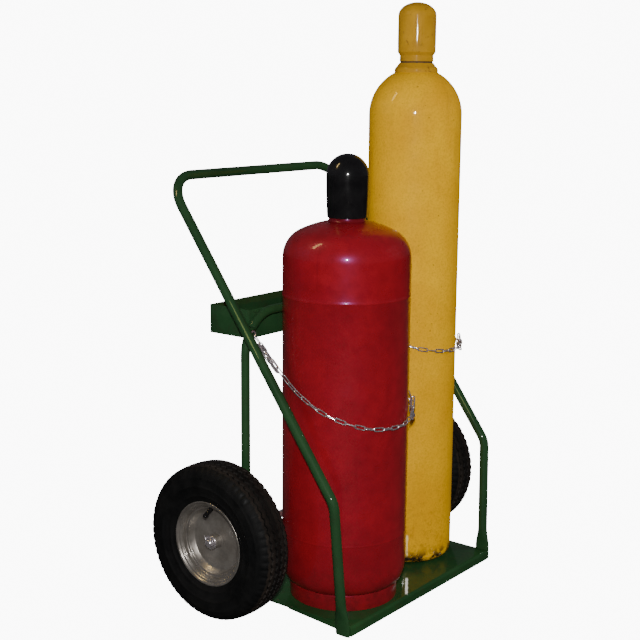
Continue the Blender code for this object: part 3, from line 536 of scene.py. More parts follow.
def bead(bm, points, radius, first_axis=(0.3, 0.2, 1.0)):
    """A weld bead along a polyline: a rope of overlapping ripples."""
    line = [Vector(p) for p in points]
    length = path_length(line)
    count = max(6, int(length / (BEAD_PITCH / 4)))
    stations = []
    travelled, i = 0.0, 0
    for k in range(count + 1):
        target = length * k / count
        while i < len(line) - 2 and travelled + (line[i + 1] - line[i]).length < target:
            travelled += (line[i + 1] - line[i]).length
            i += 1
        span = (line[i + 1] - line[i]).length
        point = line[i].lerp(line[i + 1], min(1.0, (target - travelled) / max(span, 1e-9)))
        ripple = 1.0 + 0.16 * math.cos(2 * math.pi * target / BEAD_PITCH)
        ripple *= 1.0 + 0.14 * noise.noise(point * 260.0)
        end = min(1.0, min(k, count - k) / 4.0 + 0.35)
        stations.append((point, radius * ripple * end, radius * ripple * end))
    sweep(bm, stations, 8, first_axis)


# ---- main dimensions, taken from the CAD nodes ----
PLATE_LOW, PLATE_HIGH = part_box("toe_plate")
TOE_Y = PLATE_LOW.y
SIDES = (("left", -1), ("right", 1))
RED_AXIS = Vector((-0.146, TOE_Y + 0.147, 0.0))
YELLOW_AXIS = Vector((0.182, TOE_Y + 0.181, 0.0))


def span(node):
    """A CAD node's low and high corners and its middle."""
    low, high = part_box(node)
    return low, high, (low + high) / 2.0


def frame_piece(name, bm, nodes=(), look="green_paint"):
    """A painted piece of the fixed frame; every green look has one slot."""
    finish_piece(name, bm, look, "frame", nodes)


# ---- chains ----
# Points of the two chains, in millimetres: across, back from the toe edge, up.
RED_CHAIN_ROUTE = (
    (-308, 296, 676), (-307, 262, 643), (-306, 220, 601), (-306, 180, 566),
    (-305, 139, 540), (-295, 90, 514), (-271, 47, 496), (-236, 15, 482),
    (-196, -5, 476), (-150, -13, 474), (-104, -7, 476), (-62, 11, 486),
    (-25, 42, 512), (1, 85, 552), (14, 140, 603), (15, 200, 646),
    (16, 256, 680), (16, 303, 703),
)
YELLOW_CHAIN_ROUTE = (
    (32, 303, 703), (40, 250, 676), (51, 198, 655), (61, 148, 632),
    (79, 109, 610), (113, 76, 600), (150, 60, 595), (190, 56, 592),
    (232, 66, 592), (271, 93, 596), (298, 132, 606), (308, 180, 624),
    (308, 230, 647), (308, 270, 664), (308, 296, 676),
)
RED_SPARE = (
    ((-310, 280, 656), (-310, 252, 628), (-309, 222, 598)),
    ((-307, 286, 655), (-306, 254, 623), (-306, 230, 599)),
    ((-309, 270, 642), (-309, 244, 616), (-308, 226, 598)),
    ((-311, 274, 654), (-311, 246, 626), (-309, 226, 606)),
    ((-72, 2, 474), (-52, 14, 496), (-38, 22, 518)),
    ((-60, 8, 492), (-46, 16, 472)),
)
YELLOW_SPARE = (
    ((252, 72, 586), (266, 84, 598), (270, 88, 616)),
    ((244, 66, 598), (262, 80, 612)),
    ((258, 76, 604), (270, 90, 588)),
    ((246, 68, 582), (268, 86, 590)),
)
LINK_WIRE, SPARE_WIRE = 0.0029, 0.0036
LINK_PITCH = 0.024        # inside length of a link
LINK_WIDTH = 0.011        # outside width of a link


def placed(route):
    return [Vector((x * MM, y * MM + TOE_Y, z * MM)) for x, y, z in route]


def smoothed(knots):
    """Closely spaced points on a Catmull-Rom curve through knots."""
    padded = [2 * knots[0] - knots[1]] + knots + [2 * knots[-1] - knots[-2]]
    fine = []
    for i in range(len(knots) - 1):
        p0, p1, p2, p3 = padded[i:i + 4]
        for j in range(24):
            t = j / 24.0
            fine.append(0.5 * ((2 * p1) + (p2 - p0) * t + (2 * p0 - 5 * p1 + 4 * p2 - p3) * t * t
                               + (3 * p1 - p0 - 3 * p2 + p3) * t ** 3))
    return fine + [knots[-1]]


def evenly(fine, step):
    """Points about a step apart along a polyline."""
    length = path_length(fine)
    count = max(2, round(length / step))
    points, walked, target = [fine[0]], 0.0, length / count
    for a, b in zip(fine, fine[1:]):
        span_length = (b - a).length
        while walked + span_length >= target - 1e-9 and len(points) < count:
            points.append(a.lerp(b, (target - walked) / span_length))
            target += length / count
        walked += span_length
    points.append(fine[-1])
    return points


def add_link(bm, start, end, face_normal, wire):
    """One welded link whose inside ends are at start and end."""
    along = (end - start).normalized()
    middle = (start + end) / 2.0
    side = along.cross(face_normal).normalized()
    turn_radius = (LINK_WIDTH - wire) / 2.0
    half_straight = ((end - start).length + wire) / 2.0 - turn_radius
    points = []
    for half_turn, reach in ((-0.5, half_straight), (0.5, -half_straight)):
        for k in range(9):
            angle = math.pi * (k / 8.0 + half_turn)
            points.append(middle + along * (reach + turn_radius * math.cos(angle))
                          + side * (turn_radius * math.sin(angle)))
    sweep_wire(bm, points, wire / 2.0, 10, along.cross(side), closed=True)


def link_strand(bm, points, axis, wire=LINK_WIRE, first_turn=0.0, wander=0.25):
    """Links facing away from an axis, each a quarter turn from the one before."""
    for i, (start, end) in enumerate(zip(points, points[1:])):
        along = (end - start).normalized()
        middle = (start + end) / 2.0
        face = Vector((middle.x - axis.x, middle.y - axis.y, 0.0)).normalized()
        face = (face - along * face.dot(along)).normalized()
        turn = first_turn + (math.pi / 2.0 if i % 2 else 0.0)
        turn += wander * (random.random() - 0.5)
        add_link(bm, start, end, Matrix.Rotation(turn, 3, along) @ face, wire)


def make_chain(name, node, route, axis, spare_strands):
    """A chain of links along its route, with its spare links gathered beside it."""
    points = evenly(smoothed(placed(route)), LINK_PITCH)
    bm = bmesh.new()
    link_strand(bm, points, axis)
    chain = finish_piece(name, bm, "zinc", "frame", [node])
    spare = bmesh.new()
    for number, strand in enumerate(spare_strands):
        link_strand(spare, evenly(placed(strand), LINK_PITCH), axis, SPARE_WIRE,
                    first_turn=0.6 + 0.5 * number, wander=0.9)
    extras = [finish_piece(name + "_spare", spare, "zinc", "frame")]


def make_chain_rings():
    for label in ("left", "right", "centre"):
        node = f"{label}_chain_ring"
        low, high, centre = span(node)
        wire = (high.y - low.y) / 2.0
        radius = (high.x - low.x) / 2.0 - wire
        points = [centre + Vector((radius * math.cos(a), 0.0, radius * math.sin(a)))
                  for a in angles(32)[:-1]]
        bm = bmesh.new()
        sweep_wire(bm, points, wire, 12, (0, 1, 0), closed=True)
        finish_piece(node + "_smooth", bm, "zinc", "frame", [node])


make_chain("red_chain_links", "red_side_chain", RED_CHAIN_ROUTE, RED_AXIS, RED_SPARE)
make_chain("yellow_chain_links", "yellow_side_chain", YELLOW_CHAIN_ROUTE, YELLOW_AXIS, YELLOW_SPARE)
make_chain_rings()


# ---- frame ----
TUBE_SIDES = 28
TUBE_RADIUS = 0.012
FOOT = Vector((0.3136, TOE_Y + 0.0205, 0.0))
KNEE = Vector((0.332, TOE_Y + 0.036, 0.32))
HANDLE_CORNER = Vector((0.332, TOE_Y + 0.555, 1.038))
FOOT_HALF_WIDTH, FOOT_HALF_THICKNESS = 0.0205, 0.005
FOOT_FLAT_HEIGHT, FOOT_ROUND_HEIGHT = 0.03, 0.084
KNEE_BEND_RADIUS, HANDLE_BEND_RADIUS, HOOP_BEND_RADIUS = 0.06, 0.085, 0.1
# Pale lines on the side tubes, a painted highlight along each: side, start and end from knee to
# corner, thickness.
HIGHLIGHT_RIDGES = ((-1, 0.42, 0.61, 0.0009), (1, 0.06, 0.22, 0.0006))
HIGHLIGHT_SIDE = (-0.8, -0.52, 0.3)
TRAY_WALL = 0.0025
TOE_SHEET, TOE_FOLD = 0.005, 0.008        # the toe plate's thickness, its fold's radius
RIB_CHAMFER, RIB_TIP = 0.0033, 0.002


def mirrored(point, side=-1):
    return Vector((side * point.x, point.y, point.z))


def foot_stations():
    """Sections of a side tube's foot and post, from the ground up."""
    post = (KNEE - FOOT) / KNEE.z
    top = FOOT_ROUND_HEIGHT + 0.02
    stations = []
    for i in range(27):
        height = top * i / 26
        share = (height - FOOT_FLAT_HEIGHT) / (FOOT_ROUND_HEIGHT - FOOT_FLAT_HEIGHT)
        share = max(0.0, min(1.0, share))
        ease = share * share * (3.0 - 2.0 * share)
        stations.append((FOOT + post * height, FOOT_HALF_WIDTH + (TUBE_RADIUS - FOOT_HALF_WIDTH)
                         * ease, FOOT_HALF_THICKNESS + (TUBE_RADIUS - FOOT_HALF_THICKNESS) * ease))
    return stations


def tube_piece(name, stations, nodes):
    bm = bmesh.new()
    sweep(bm, stations, TUBE_SIDES, (1, 0, 0), level_ends=True)
    frame_piece(name, bm, nodes)


def make_frame_tube():
    """The one bent tube: left foot, knee, handle and down to the right foot."""
    bends = bend(FOOT, KNEE, HANDLE_CORNER, KNEE_BEND_RADIUS, 12)
    bends += bend(KNEE, HANDLE_CORNER, mirrored(HANDLE_CORNER), HANDLE_BEND_RADIUS, 20)
    right = foot_stations() + [(p, TUBE_RADIUS, TUBE_RADIUS) for p in bends]
    left = [(mirrored(p), w, t) for p, w, t in reversed(right)]
    tube_piece("frame_tube_bent", right + left,
               ["left_frame_tube", "right_frame_tube", "handle_tube"])


def make_highlight_ridges():
    """A painted highlight along the ridge of each side tube: low, shallow beads in pale green."""
    bm = bmesh.new()
    for side, begin, end, thickness in HIGHLIGHT_RIDGES:
        knee, corner = mirrored(KNEE, side), mirrored(HANDLE_CORNER, side)
        along = (corner - knee).normalized()
        toward = Vector(HIGHLIGHT_SIDE)
        toward = (toward - along * toward.dot(along)).normalized()
        out = toward * (TUBE_RADIUS - 0.0003)
        stations = []
        for k in range(25):
            share = k / 24.0
            size = thickness * (0.35 + 0.65 * math.sin(math.pi * share))
            size *= 1.0 + 0.35 * noise.noise(Vector((share * 23.0, side, 0.5)))
            stations.append((knee.lerp(corner, begin + (end - begin) * share) + out,
                             2.2 * size, size))
        sweep(bm, stations, 8, toward)
    frame_piece("tube_highlight_ridges", bm, look="highlight_green_paint")


def make_rear_hoop():
    low, high, middle = span("rear_hoop_tube")
    radius = (high.y - low.y) / 2.0
    x, top = high.x - radius, high.z - radius
    foot, corner = Vector((x, middle.y, low.z)), Vector((x, middle.y, top))
    points = [foot, Vector((x, middle.y, (low.z + top) / 2.0))]
    points += bend(foot, corner, mirrored(corner), HOOP_BEND_RADIUS, 20)
    points += [mirrored(p) for p in reversed(points)]
    tube_piece("rear_hoop_bent", [(p, radius, radius) for p in points], ["rear_hoop_tube"])


def make_tray():
    """Open sheet tray with rounded edges."""
    low, high, _ = span("tray")
    bm = bmesh.new()
    box_verts(bm, low, high)
    top = max(bm.faces, key=lambda face: face.calc_center_median().z)
    bmesh.ops.inset_region(bm, faces=[top], thickness=TRAY_WALL)
    pushed = bmesh.ops.extrude_face_region(bm, geom=[top])
    moved = [v for v in pushed["geom"] if isinstance(v, bmesh.types.BMVert)]
    bmesh.ops.translate(bm, vec=(0, 0, TRAY_WALL - (high.z - low.z)), verts=moved)
    bmesh.ops.delete(bm, geom=[top], context="FACES")
    round_edges(bm, bm.edges[:], 0.0009)
    frame_piece("tray_folded", bm, ["tray"], "tray_green_paint")


def make_toe_plate():
    low, high = PLATE_LOW, PLATE_HIGH
    fold_y, fold_z = low.y + TOE_FOLD, high.z - TOE_FOLD
    outline = [(high.y, high.z - TOE_SHEET), (high.y, high.z)]
    outline += arc(fold_y, fold_z, TOE_FOLD, 90, 180, 8)
    outline += [(low.y, low.z), (low.y + TOE_SHEET, low.z)]
    outline += arc(fold_y, fold_z, TOE_FOLD - TOE_SHEET, 180, 90, 5)
    cut_piece("toe_plate_folded", outline, low.x, high.x, 0.0007, "plate_green_paint",
              ["toe_plate"])


def make_side_ribs():
    """Tapered stiffeners under the toe plate's side edges."""
    for label, _ in SIDES:
        low, high, _ = span(f"{label}_side_rib")
        outline = [(low.y + RIB_CHAMFER, high.z), (low.y, high.z - RIB_CHAMFER),
                   (low.y, low.z), (high.y, high.z - RIB_TIP), (high.y, high.z)]
        cut_piece(f"{label}_side_rib_cut", outline, low.x, high.x, 0.0005,
                  "plate_green_paint", [f"{label}_side_rib"])


def make_brackets_and_lugs():
    axle_low, axle_high, axle = span("axle")
    slot = (axle_high.y - axle_low.y) / 2.0 + 0.0003
    for label, _ in SIDES:
        node = f"{label}_axle_bracket"
        low, high, _ = span(node)
        outline = [(low.y, low.z), (high.y, low.z), (high.y, high.z), (axle.y + slot, high.z)]
        outline += arc(axle.y, axle.z, slot, 0, -180, 20)
        outline += [(axle.y - slot, high.z), (low.y, high.z)]
        cut_piece(node + "_cut", outline, low.x, high.x, 0.0006, "green_paint", [node])
    for label in ("left", "right", "centre"):
        node = f"{label}_chain_lug"
        low, high, _ = span(node)
        bm = bmesh.new()
        verts = box_verts(bm, low, high)
        round_edges(bm, list({e for v in verts for e in v.link_edges}), 0.0012, segments=3)
        frame_piece(node + "_cut", bm, [node])


def make_weld_beads():
    """Painted weld beads where the frame's pieces meet."""
    bm = bmesh.new()
    hoop_low, hoop_high, hoop = span("rear_hoop_tube")
    radius = (hoop_high.y - hoop_low.y) / 2.0
    tray_low, tray_high, _ = span("tray")
    tray_y, tray_z = tray_low.y - 0.0004, tray_high.z - 0.006
    for label, side in SIDES:
        x = side * (PLATE_HIGH.x + 0.0004)
        z = PLATE_HIGH.z + 0.0008
        bead(bm, [(x, TOE_Y + 0.003, z), (x, TOE_Y + 0.033, z)], 0.0021)
        low, high, _ = span(f"{label}_axle_bracket")
        z = PLATE_HIGH.z + 0.0006
        bead(bm, [(x, low.y + 0.002, z), (x, high.y - 0.002, z)], 0.0022)
        centre = Vector((side * (hoop_high.x - radius), hoop.y, hoop_low.z + 0.0008))
        bead(bm, [centre + Vector((radius * math.cos(a), radius * math.sin(a), 0.0))
                  for a in angles(24)], 0.002)
        x = side * (tray_high.x - 0.035)
        bead(bm, [(x - 0.02, tray_y, tray_z), (x + 0.02, tray_y, tray_z)], 0.002)
    frame_piece("weld_beads", bm)


make_frame_tube()
make_highlight_ridges()
make_rear_hoop()
make_tray()
make_toe_plate()
make_side_ribs()
make_brackets_and_lugs()
make_weld_beads()


# ---- axle and its hardware ----
AXLE_STEPS, WASHER_STEPS = 40, 48
WASHER_BORE, WASHER_CORNER = 0.01, 0.0005


def make_axle():
    low, high, centre = span("axle")
    radius, half = (high.z - low.z) / 2.0, (high.x - low.x) / 2.0
    side = [(0.0, half), (radius - 0.0016, half, 0.0006), (radius, half - 0.0016, 0.0008)]
    outline = rounded([(p[0], -p[1], *p[2:]) for p in side] + list(reversed(side)), 3)
    turned_piece("axle_bar", outline, AXLE_STEPS, centre, "zinc", "frame",
                 ["axle"], "steel", own_origin=False, axis="X", closed=False)


def make_washers():
    for label, side in SIDES:
        for place in ("inner", "outer"):
            node = f"{label}_{place}_washer"
            low, high, centre = span(node)
            half, radius = (high.x - low.x) / 2.0, (high.z - low.z) / 2.0
            inside = radius - WASHER_CORNER
            outline = [(WASHER_BORE, -half), (inside, -half), (radius, -half + WASHER_CORNER),
                       (radius, half - WASHER_CORNER), (inside, half), (WASHER_BORE, half)]
            turned_piece(node + "_smooth", outline, WASHER_STEPS, centre, "zinc",
                         "frame", [node], own_origin=False, axis="X", side=side)


def make_cotter_pins():
    """Split pins bent round the axle's ends."""
    axle_low, axle_high, axle = span("axle")
    for label, _ in SIDES:
        node = f"{label}_cotter_pin"
        low, high, centre = span(node)
        wire = (high.x - low.x) / 2.0
        radius = (axle_high.z - axle_low.z) / 2.0 + wire + 0.0004
        path = [(radius + 0.004, 0.0135), (radius + 0.002, 0.0085)]
        path += arc(0.0, 0.0, radius, 20, 320, 32)
        bm = bmesh.new()
        sweep_wire(bm, [Vector((centre.x, axle.y + a, axle.z + b)) for a, b in path],
                   wire, 12, (1, 0, 0))
        finish_piece(node + "_smooth", bm, "zinc", "frame", [node])


make_axle()
make_washers()
make_cotter_pins()


# ---- wheels ----
TREAD_PERIODS = 62
STEPS_PER_PERIOD = 6
WHEEL_STEPS = TREAD_PERIODS * STEPS_PER_PERIOD
TYRE_RADIUS = 0.19
ZIGZAG = 0.0026            # how far the grooves wander across the tread
GROOVE_DEPTH = 0.0055
GROOVE_HALF_WIDTH = 0.0024
GROOVES = (-0.0235, -0.008, 0.008, 0.0235)
TREAD_HALF_WIDTH = 0.034


def crown(h):
    """Radius of the tyre's outside over its tread, at a height from its middle."""
    return TYRE_RADIUS - 0.003 * (abs(h) / TREAD_HALF_WIDTH) ** 2.2


def tread_outline():
    """(r, h) across the tread from one shoulder to the other, grooves included."""
    half = GROOVE_HALF_WIDTH
    edges = [(-TREAD_HALF_WIDTH, 0.0)]
    for g in GROOVES:
        edges += [(g - half - 0.0006, 0.0), (g - half, 0.0012), (g - half + 0.0009, GROOVE_DEPTH),
                  (g + half - 0.0009, GROOVE_DEPTH), (g + half, 0.0012), (g + half + 0.0006, 0.0)]
    edges.append((TREAD_HALF_WIDTH, 0.0))
    points = []
    for (h0, d0), (h1, d1) in zip(edges, edges[1:]):
        points.append((crown(h0) - d0, h0))
        if d0 == 0.0 and d1 == 0.0 and h1 - h0 > 0.004:
            for k in (1, 2):
                h = h0 + (h1 - h0) * k / 3.0
                points.append((crown(h), h))
    points.append((crown(TREAD_HALF_WIDTH), TREAD_HALF_WIDTH))
    return points


def tyre_outline():
    """Closed section of the tyre: tread, sidewalls with their ridges, and inside."""
    side = [(0.1842, 0.0385), (0.18, 0.0425), (0.1745, 0.0455), (0.17, 0.0472), (0.166, 0.048),
            (0.1645, 0.049), (0.161, 0.0494), (0.159, 0.049), (0.153, 0.0494), (0.148, 0.0496),
            (0.143, 0.0494), (0.1415, 0.05), (0.1395, 0.0499), (0.138, 0.0488), (0.132, 0.0474),
            (0.126, 0.0458), (0.12, 0.0442), (0.1185, 0.0448), (0.1165, 0.0444), (0.115, 0.043),
            (0.109, 0.0408), (0.1045, 0.0392), (0.1015, 0.0378), (0.1, 0.036)]
    inside = [(0.0982, 0.032), (0.1, 0.03), (0.112, 0.0315), (0.14, 0.0415),
              (0.164, 0.0395), (0.176, 0.02), (0.179, 0.0)]
    half = side + inside
    return tread_outline() + half + [(r, -h) for r, h in reversed(half[:-1])]


def tread_shape(r, h, angle):
    """Wander the tread's grooves sideways and notch the shoulders."""
    phase = (angle / (2.0 * math.pi) * TREAD_PERIODS) % 1.0
    wave = 1.0 - 4.0 * abs(phase - 0.5)
    if r > 0.18:
        fade = max(0.0, min(1.0, (TREAD_HALF_WIDTH - abs(h)) / 0.006))
        if abs(h) <= TREAD_HALF_WIDTH - 1e-6:
            return r, h + ZIGZAG * wave * fade
    if r > 0.1735 and abs(h) > TREAD_HALF_WIDTH - 1e-6:
        step = round(phase * STEPS_PER_PERIOD) % STEPS_PER_PERIOD
        if step in (0, 1) and r > 0.178:
            return r - 0.0012, h - math.copysign(0.001, h)
    return r, h


def rim_outline():
    """Closed section of the pressed rim and dished disc, outboard side up."""
    outer = [(0.017, 0.0042), (0.04, 0.004), (0.062, 0.004, 0.006),
             (0.0735, 0.0058, 0.006), (0.079, 0.015, 0.004), (0.0815, 0.02, 0.002),
             (0.0868, 0.0212, 0.003), (0.0888, 0.031, 0.002), (0.0915, 0.0325, 0.002),
             (0.093, 0.0352, 0.0015), (0.0965, 0.0362, 0.002), (0.0985, 0.0395, 0.002),
             (0.102, 0.041, 0.002), (0.104, 0.0396, 0.001)]
    under = [(0.099, 0.0365, 0.002), (0.096, 0.029, 0.003), (0.087, 0.012, 0.004),
             (0.085, -0.01, 0.004), (0.094, -0.027, 0.003), (0.099, -0.0365, 0.002),
             (0.104, -0.0395, 0.001), (0.102, -0.041, 0.002)]
    inside = [(0.0965, -0.038, 0.002), (0.091, -0.027, 0.003), (0.0815, -0.011, 0.004),
              (0.075, 0.0006, 0.004), (0.063, 0.0012, 0.003), (0.017, 0.0012)]
    return rounded(outer + under + inside, 4)


HUB_BORE, HUB_RADIUS = 0.0143, 0.0167
HUB_INNER_END, HUB_OUTER_END = -0.0355, 0.0255
HUB_WELD_RADIUS, HUB_WELD_OUT = 0.0178, 0.0052
BEARING_BORE = 0.0098
VALVE_OUT, VALVE_UP = 0.0245, 0.0838
VALVE_LEAN = (0.86, 0.0, -0.51)


def make_wheel(label, side):
    body = f"{label}_wheel"
    centre = span(f"{label}_tyre")[2]

    def spun(name, outline, steps, look, node, sharp_deg=32.0, **lathe_options):
        turned_piece(f"{label}_{name}", outline, steps, centre, look, body, [f"{label}_{node}"],
                     sharp_deg=sharp_deg, axis="X", side=side, **lathe_options)

    spun("tyre_treaded", tyre_outline(), WHEEL_STEPS, "tyre_rubber", "tyre", 40.0,
         shape=tread_shape)
    spun("rim_pressed", rim_outline(), 144, "rim_silver", "rim", 50.0)
    make_hub(label, side, centre, body)
    for place, outward in (("inner", -1.0), ("outer", 1.0)):
        node = f"{place}_bearing"
        low, high, _ = span(f"{label}_{node}")
        spun(node + "_faced", bearing_outline(low, high, centre, side, outward), 56, "steel", node)
    make_tyre_valve(label, side, centre, body)


def make_hub(label, side, centre, body):
    """The hub tube, with the weld that joins it to the rim's disc."""
    bm = bmesh.new()
    outline = rounded([(HUB_BORE, 0.0), (HUB_BORE, HUB_INNER_END),
                       (HUB_RADIUS, HUB_INNER_END, 0.0008), (HUB_RADIUS, 0.0005, 0.001),
                       (HUB_RADIUS, 0.012, 0.001), (HUB_RADIUS, HUB_OUTER_END, 0.001),
                       (HUB_BORE, HUB_OUTER_END), (HUB_BORE, 0.0001)], 3)
    lathe(bm, outline, 64, centre, axis="X", side=side)
    bead(bm, [centre + Vector((side * HUB_WELD_OUT, a, b))
              for a, b in arc(0.0, 0.0, HUB_WELD_RADIUS, 0, 360, 40)],
         0.0013, first_axis=(1, 0, 0))
    finish_piece(f"{label}_hub_tube", bm, "rim_silver", body, [f"{label}_hub"], origin=centre)


def bearing_outline(low, high, centre, side, outward):
    """Section of a bearing: a seal sunk between the races on its outward face."""
    near, far = sorted(((low.x - centre.x) * side, (high.x - centre.x) * side))
    face, back = (far, near) if outward > 0 else (near, far)
    seal = face - outward * 0.0008
    race = (high.z - low.z) / 2.0
    return [(BEARING_BORE, back), (BEARING_BORE, face), (BEARING_BORE + 0.0012, face),
            (BEARING_BORE + 0.0014, seal), (race - 0.0014, seal), (race - 0.0012, face),
            (race, face), (race, back)]


def make_tyre_valve(label, side, centre, body):
    """Rubber stem and plastic cap leaning out of the rim's wall."""
    base = centre + Vector((side * VALVE_OUT, 0.0, VALVE_UP))
    lean = mirrored(Vector(VALVE_LEAN), side).normalized()
    turn = Vector((0, 0, 1)).rotation_difference(lean).to_matrix().to_4x4()
    stem = rounded([(0.0, 0.0), (0.0058, 0.0, 0.0004), (0.0054, 0.006, 0.001),
                    (0.0048, 0.0085, 0.001), (0.0048, 0.0155, 0.0003), (0.0, 0.0155)], 3)
    cap = [(0.0, 0.0158), (0.005, 0.0158)]
    for k in range(8):
        start = 0.0162 + 0.0012 * k
        cap += [(0.0052, start), (0.0055, start + 0.0003), (0.0055, start + 0.0008),
                (0.0052, start + 0.0011)]
    cap += [(0.0052, 0.0262), (0.0042, 0.028), (0.0028, 0.0285), (0.0, 0.0285)]
    for name, outline in (("valve_stem", stem), ("valve_cap", cap)):
        bm = bmesh.new()
        lathe(bm, outline, 28, (0, 0, 0), closed=False)
        bmesh.ops.transform(bm, matrix=Matrix.Translation(base) @ turn, verts=bm.verts[:])
        finish_piece(f"{label}_{name}_turned", bm, "black_paint", body, [f"{label}_{name}"])


for wheel_label, wheel_side in SIDES:
    make_wheel(wheel_label, wheel_side)


# ---- gas cylinders ----
BODY_STEPS, CAP_STEPS = 160, 120
FLOOR_Z = PLATE_HIGH.z + 0.0003        # both cylinders stand just clear of the plate
RED_RADIUS, RED_WALL = 0.152, 0.004
RED_GROOVE_Z = FLOOR_Z + 0.039         # where the foot ring meets the shell
RED_LOW_SEAM_Z, RED_HIGH_SEAM_Z = 0.193, 0.7725
RED_SHOULDER_Z, RED_SHOULDER_RADIUS = 0.8614, 0.07
RED_DOME_Z, RED_DOME_RADIUS = 0.69, 0.26
RED_NECK_TOP = 0.954
YELLOW_RADIUS, YELLOW_WALL = 0.1175, 0.0065
YELLOW_SHOULDER_Z, YELLOW_SHOULDER_HEIGHT = 1.186, 0.118
YELLOW_NECK_Z = 1.2915
YELLOW_NECK_TOP = YELLOW_NECK_Z + 0.023
CAP_WALL = 0.0035


def uneven(strength, scale, seed):
    """A shape function that makes a turned wall very slightly uneven."""
    shift = Vector((seed * 3.1, seed * 1.7, seed * 0.9))

    def shape(r, h, angle):
        spot = Vector((math.cos(angle), math.sin(angle), h * 4.0)) * scale + shift
        return r + strength * noise.noise(spot) * min(1.0, r / 0.05), h
    return shape


def seam(z, height, half_width, radius):
    """Outline points of a raised weld seam on a wall of the given radius."""
    return [(radius + height * math.cos((k / 4.0 - 1.0) * math.pi / 2.0) ** 2,
             z + half_width * (k / 4.0 - 1.0)) for k in range(9)]


def lifted(base, *points):
    """(radius, height) or (radius, height, rounding) points, raised by a base height."""
    return [(p[0], base + p[1], *p[2:]) for p in points]


def dome(radius, wall=0.0):
    """A point of the acetylene cylinder's domed top, or of its inside."""
    return radius, RED_DOME_Z + math.sqrt((RED_DOME_RADIUS - wall) ** 2 - radius ** 2)


# The lap weld round the acetylene cylinder: steps out from the wall and heights.
SEAM_STEPS = ((0.0, -0.004), (0.0006, -0.003), (0.0011, -0.0014), (0.0012, 0.0),
              (0.001, 0.001), (0.0003, 0.0046), (0.0, 0.0062))


def make_red_cylinder():
    radius, shoulder = RED_RADIUS, RED_RADIUS - RED_SHOULDER_RADIUS
    outer = lifted(RED_GROOVE_Z, (0.0, -0.012), (0.09, -0.008), (0.1285, 0.0008), (0.133, 0.0014))
    outer += arc(radius - 0.023, RED_GROOVE_Z + 0.05, 0.023, -68.0, 0.0, 14, height=0.049)
    outer += seam(RED_LOW_SEAM_Z, 0.0005, 0.004, radius)
    outer += [(radius, RED_LOW_SEAM_Z + 0.2), (radius, 0.58)]
    outer += [(radius + step, RED_HIGH_SEAM_Z + rise) for step, rise in SEAM_STEPS]
    outer += [(radius, 0.8), (radius, 0.83)]
    outer += arc(shoulder, RED_SHOULDER_Z, RED_SHOULDER_RADIUS, 0.0, 64.43, 16)
    outer += [dome(r) for r in (0.104, 0.094, 0.084, 0.074, 0.064, 0.055)]
    outer += [(0.048, 0.9458), (0.0458, 0.9464), (0.0448, 0.9478), (0.044, 0.949)]
    outer += lifted(RED_NECK_TOP, (0.0436, -0.0006), (0.043, 0.0), (0.0146, 0.0))
    inner = lifted(RED_NECK_TOP, (0.0146, -0.0145), (0.03, -0.0145))
    inner += [dome(0.048, RED_WALL), dome(0.089, RED_WALL)]
    inner += arc(shoulder, RED_SHOULDER_Z, RED_SHOULDER_RADIUS - RED_WALL, 64.0, 0.0, 6)
    inner += lifted(RED_GROOVE_Z, (radius - RED_WALL, 0.056), (radius - 0.0075, 0.03),
                    (radius - 0.016, 0.012), (0.128, 0.007), (0.0, -0.008))
    turned_piece("red_shell_smooth", outer + inner, BODY_STEPS, RED_AXIS, "red_paint",
                 "red_cylinder", ["red_shell"], closed=False, shape=uneven(0.00035, 2.2, 1.0))
    ring = lifted(FLOOR_Z, (0.128, 0.002), (0.129, 0.0, 0.001), (0.132, 0.0, 0.0015))
    ring += lifted(RED_GROOVE_Z, (0.132, -0.004, 0.002), (0.1312, -0.0008, 0.001),
                   (0.1288, 0.0012, 0.001), (0.128, 0.0008))
    ring += lifted(FLOOR_Z, (0.128, 0.0021))
    turned_piece("red_foot_ring_smooth", rounded(ring, 3), BODY_STEPS, RED_AXIS, "red_paint",
                 "red_cylinder", ["red_foot_ring"], shape=uneven(0.0004, 2.6, 2.0))


def make_red_cap():
    low, high, _ = span("red_cap")
    wide = 0.0505
    dome_z = high.z - wide
    outer = lifted(low.z, (0.0423, 0.0), (0.0468, 0.0, 0.0006), (0.0475, 0.0012, 0.0006),
                   (0.0482, 0.01, 0.003), (0.0502, 0.06, 0.02))
    outer = rounded(outer + [(wide, dome_z - 0.012)])
    outer += arc(0.0, dome_z, wide, 0.0, 90.0, 22)
    inner = arc(0.0, dome_z, wide - CAP_WALL, 90.0, 0.0, 10)
    inner += lifted(low.z, (0.0425, 0.006), (0.0423, 0.0002))
    turned_piece("red_cap_smooth", outer + inner, CAP_STEPS, RED_AXIS, "black_paint", "red_cap",
                 ["red_cap"], shape=uneven(0.0003, 3.0, 3.0))


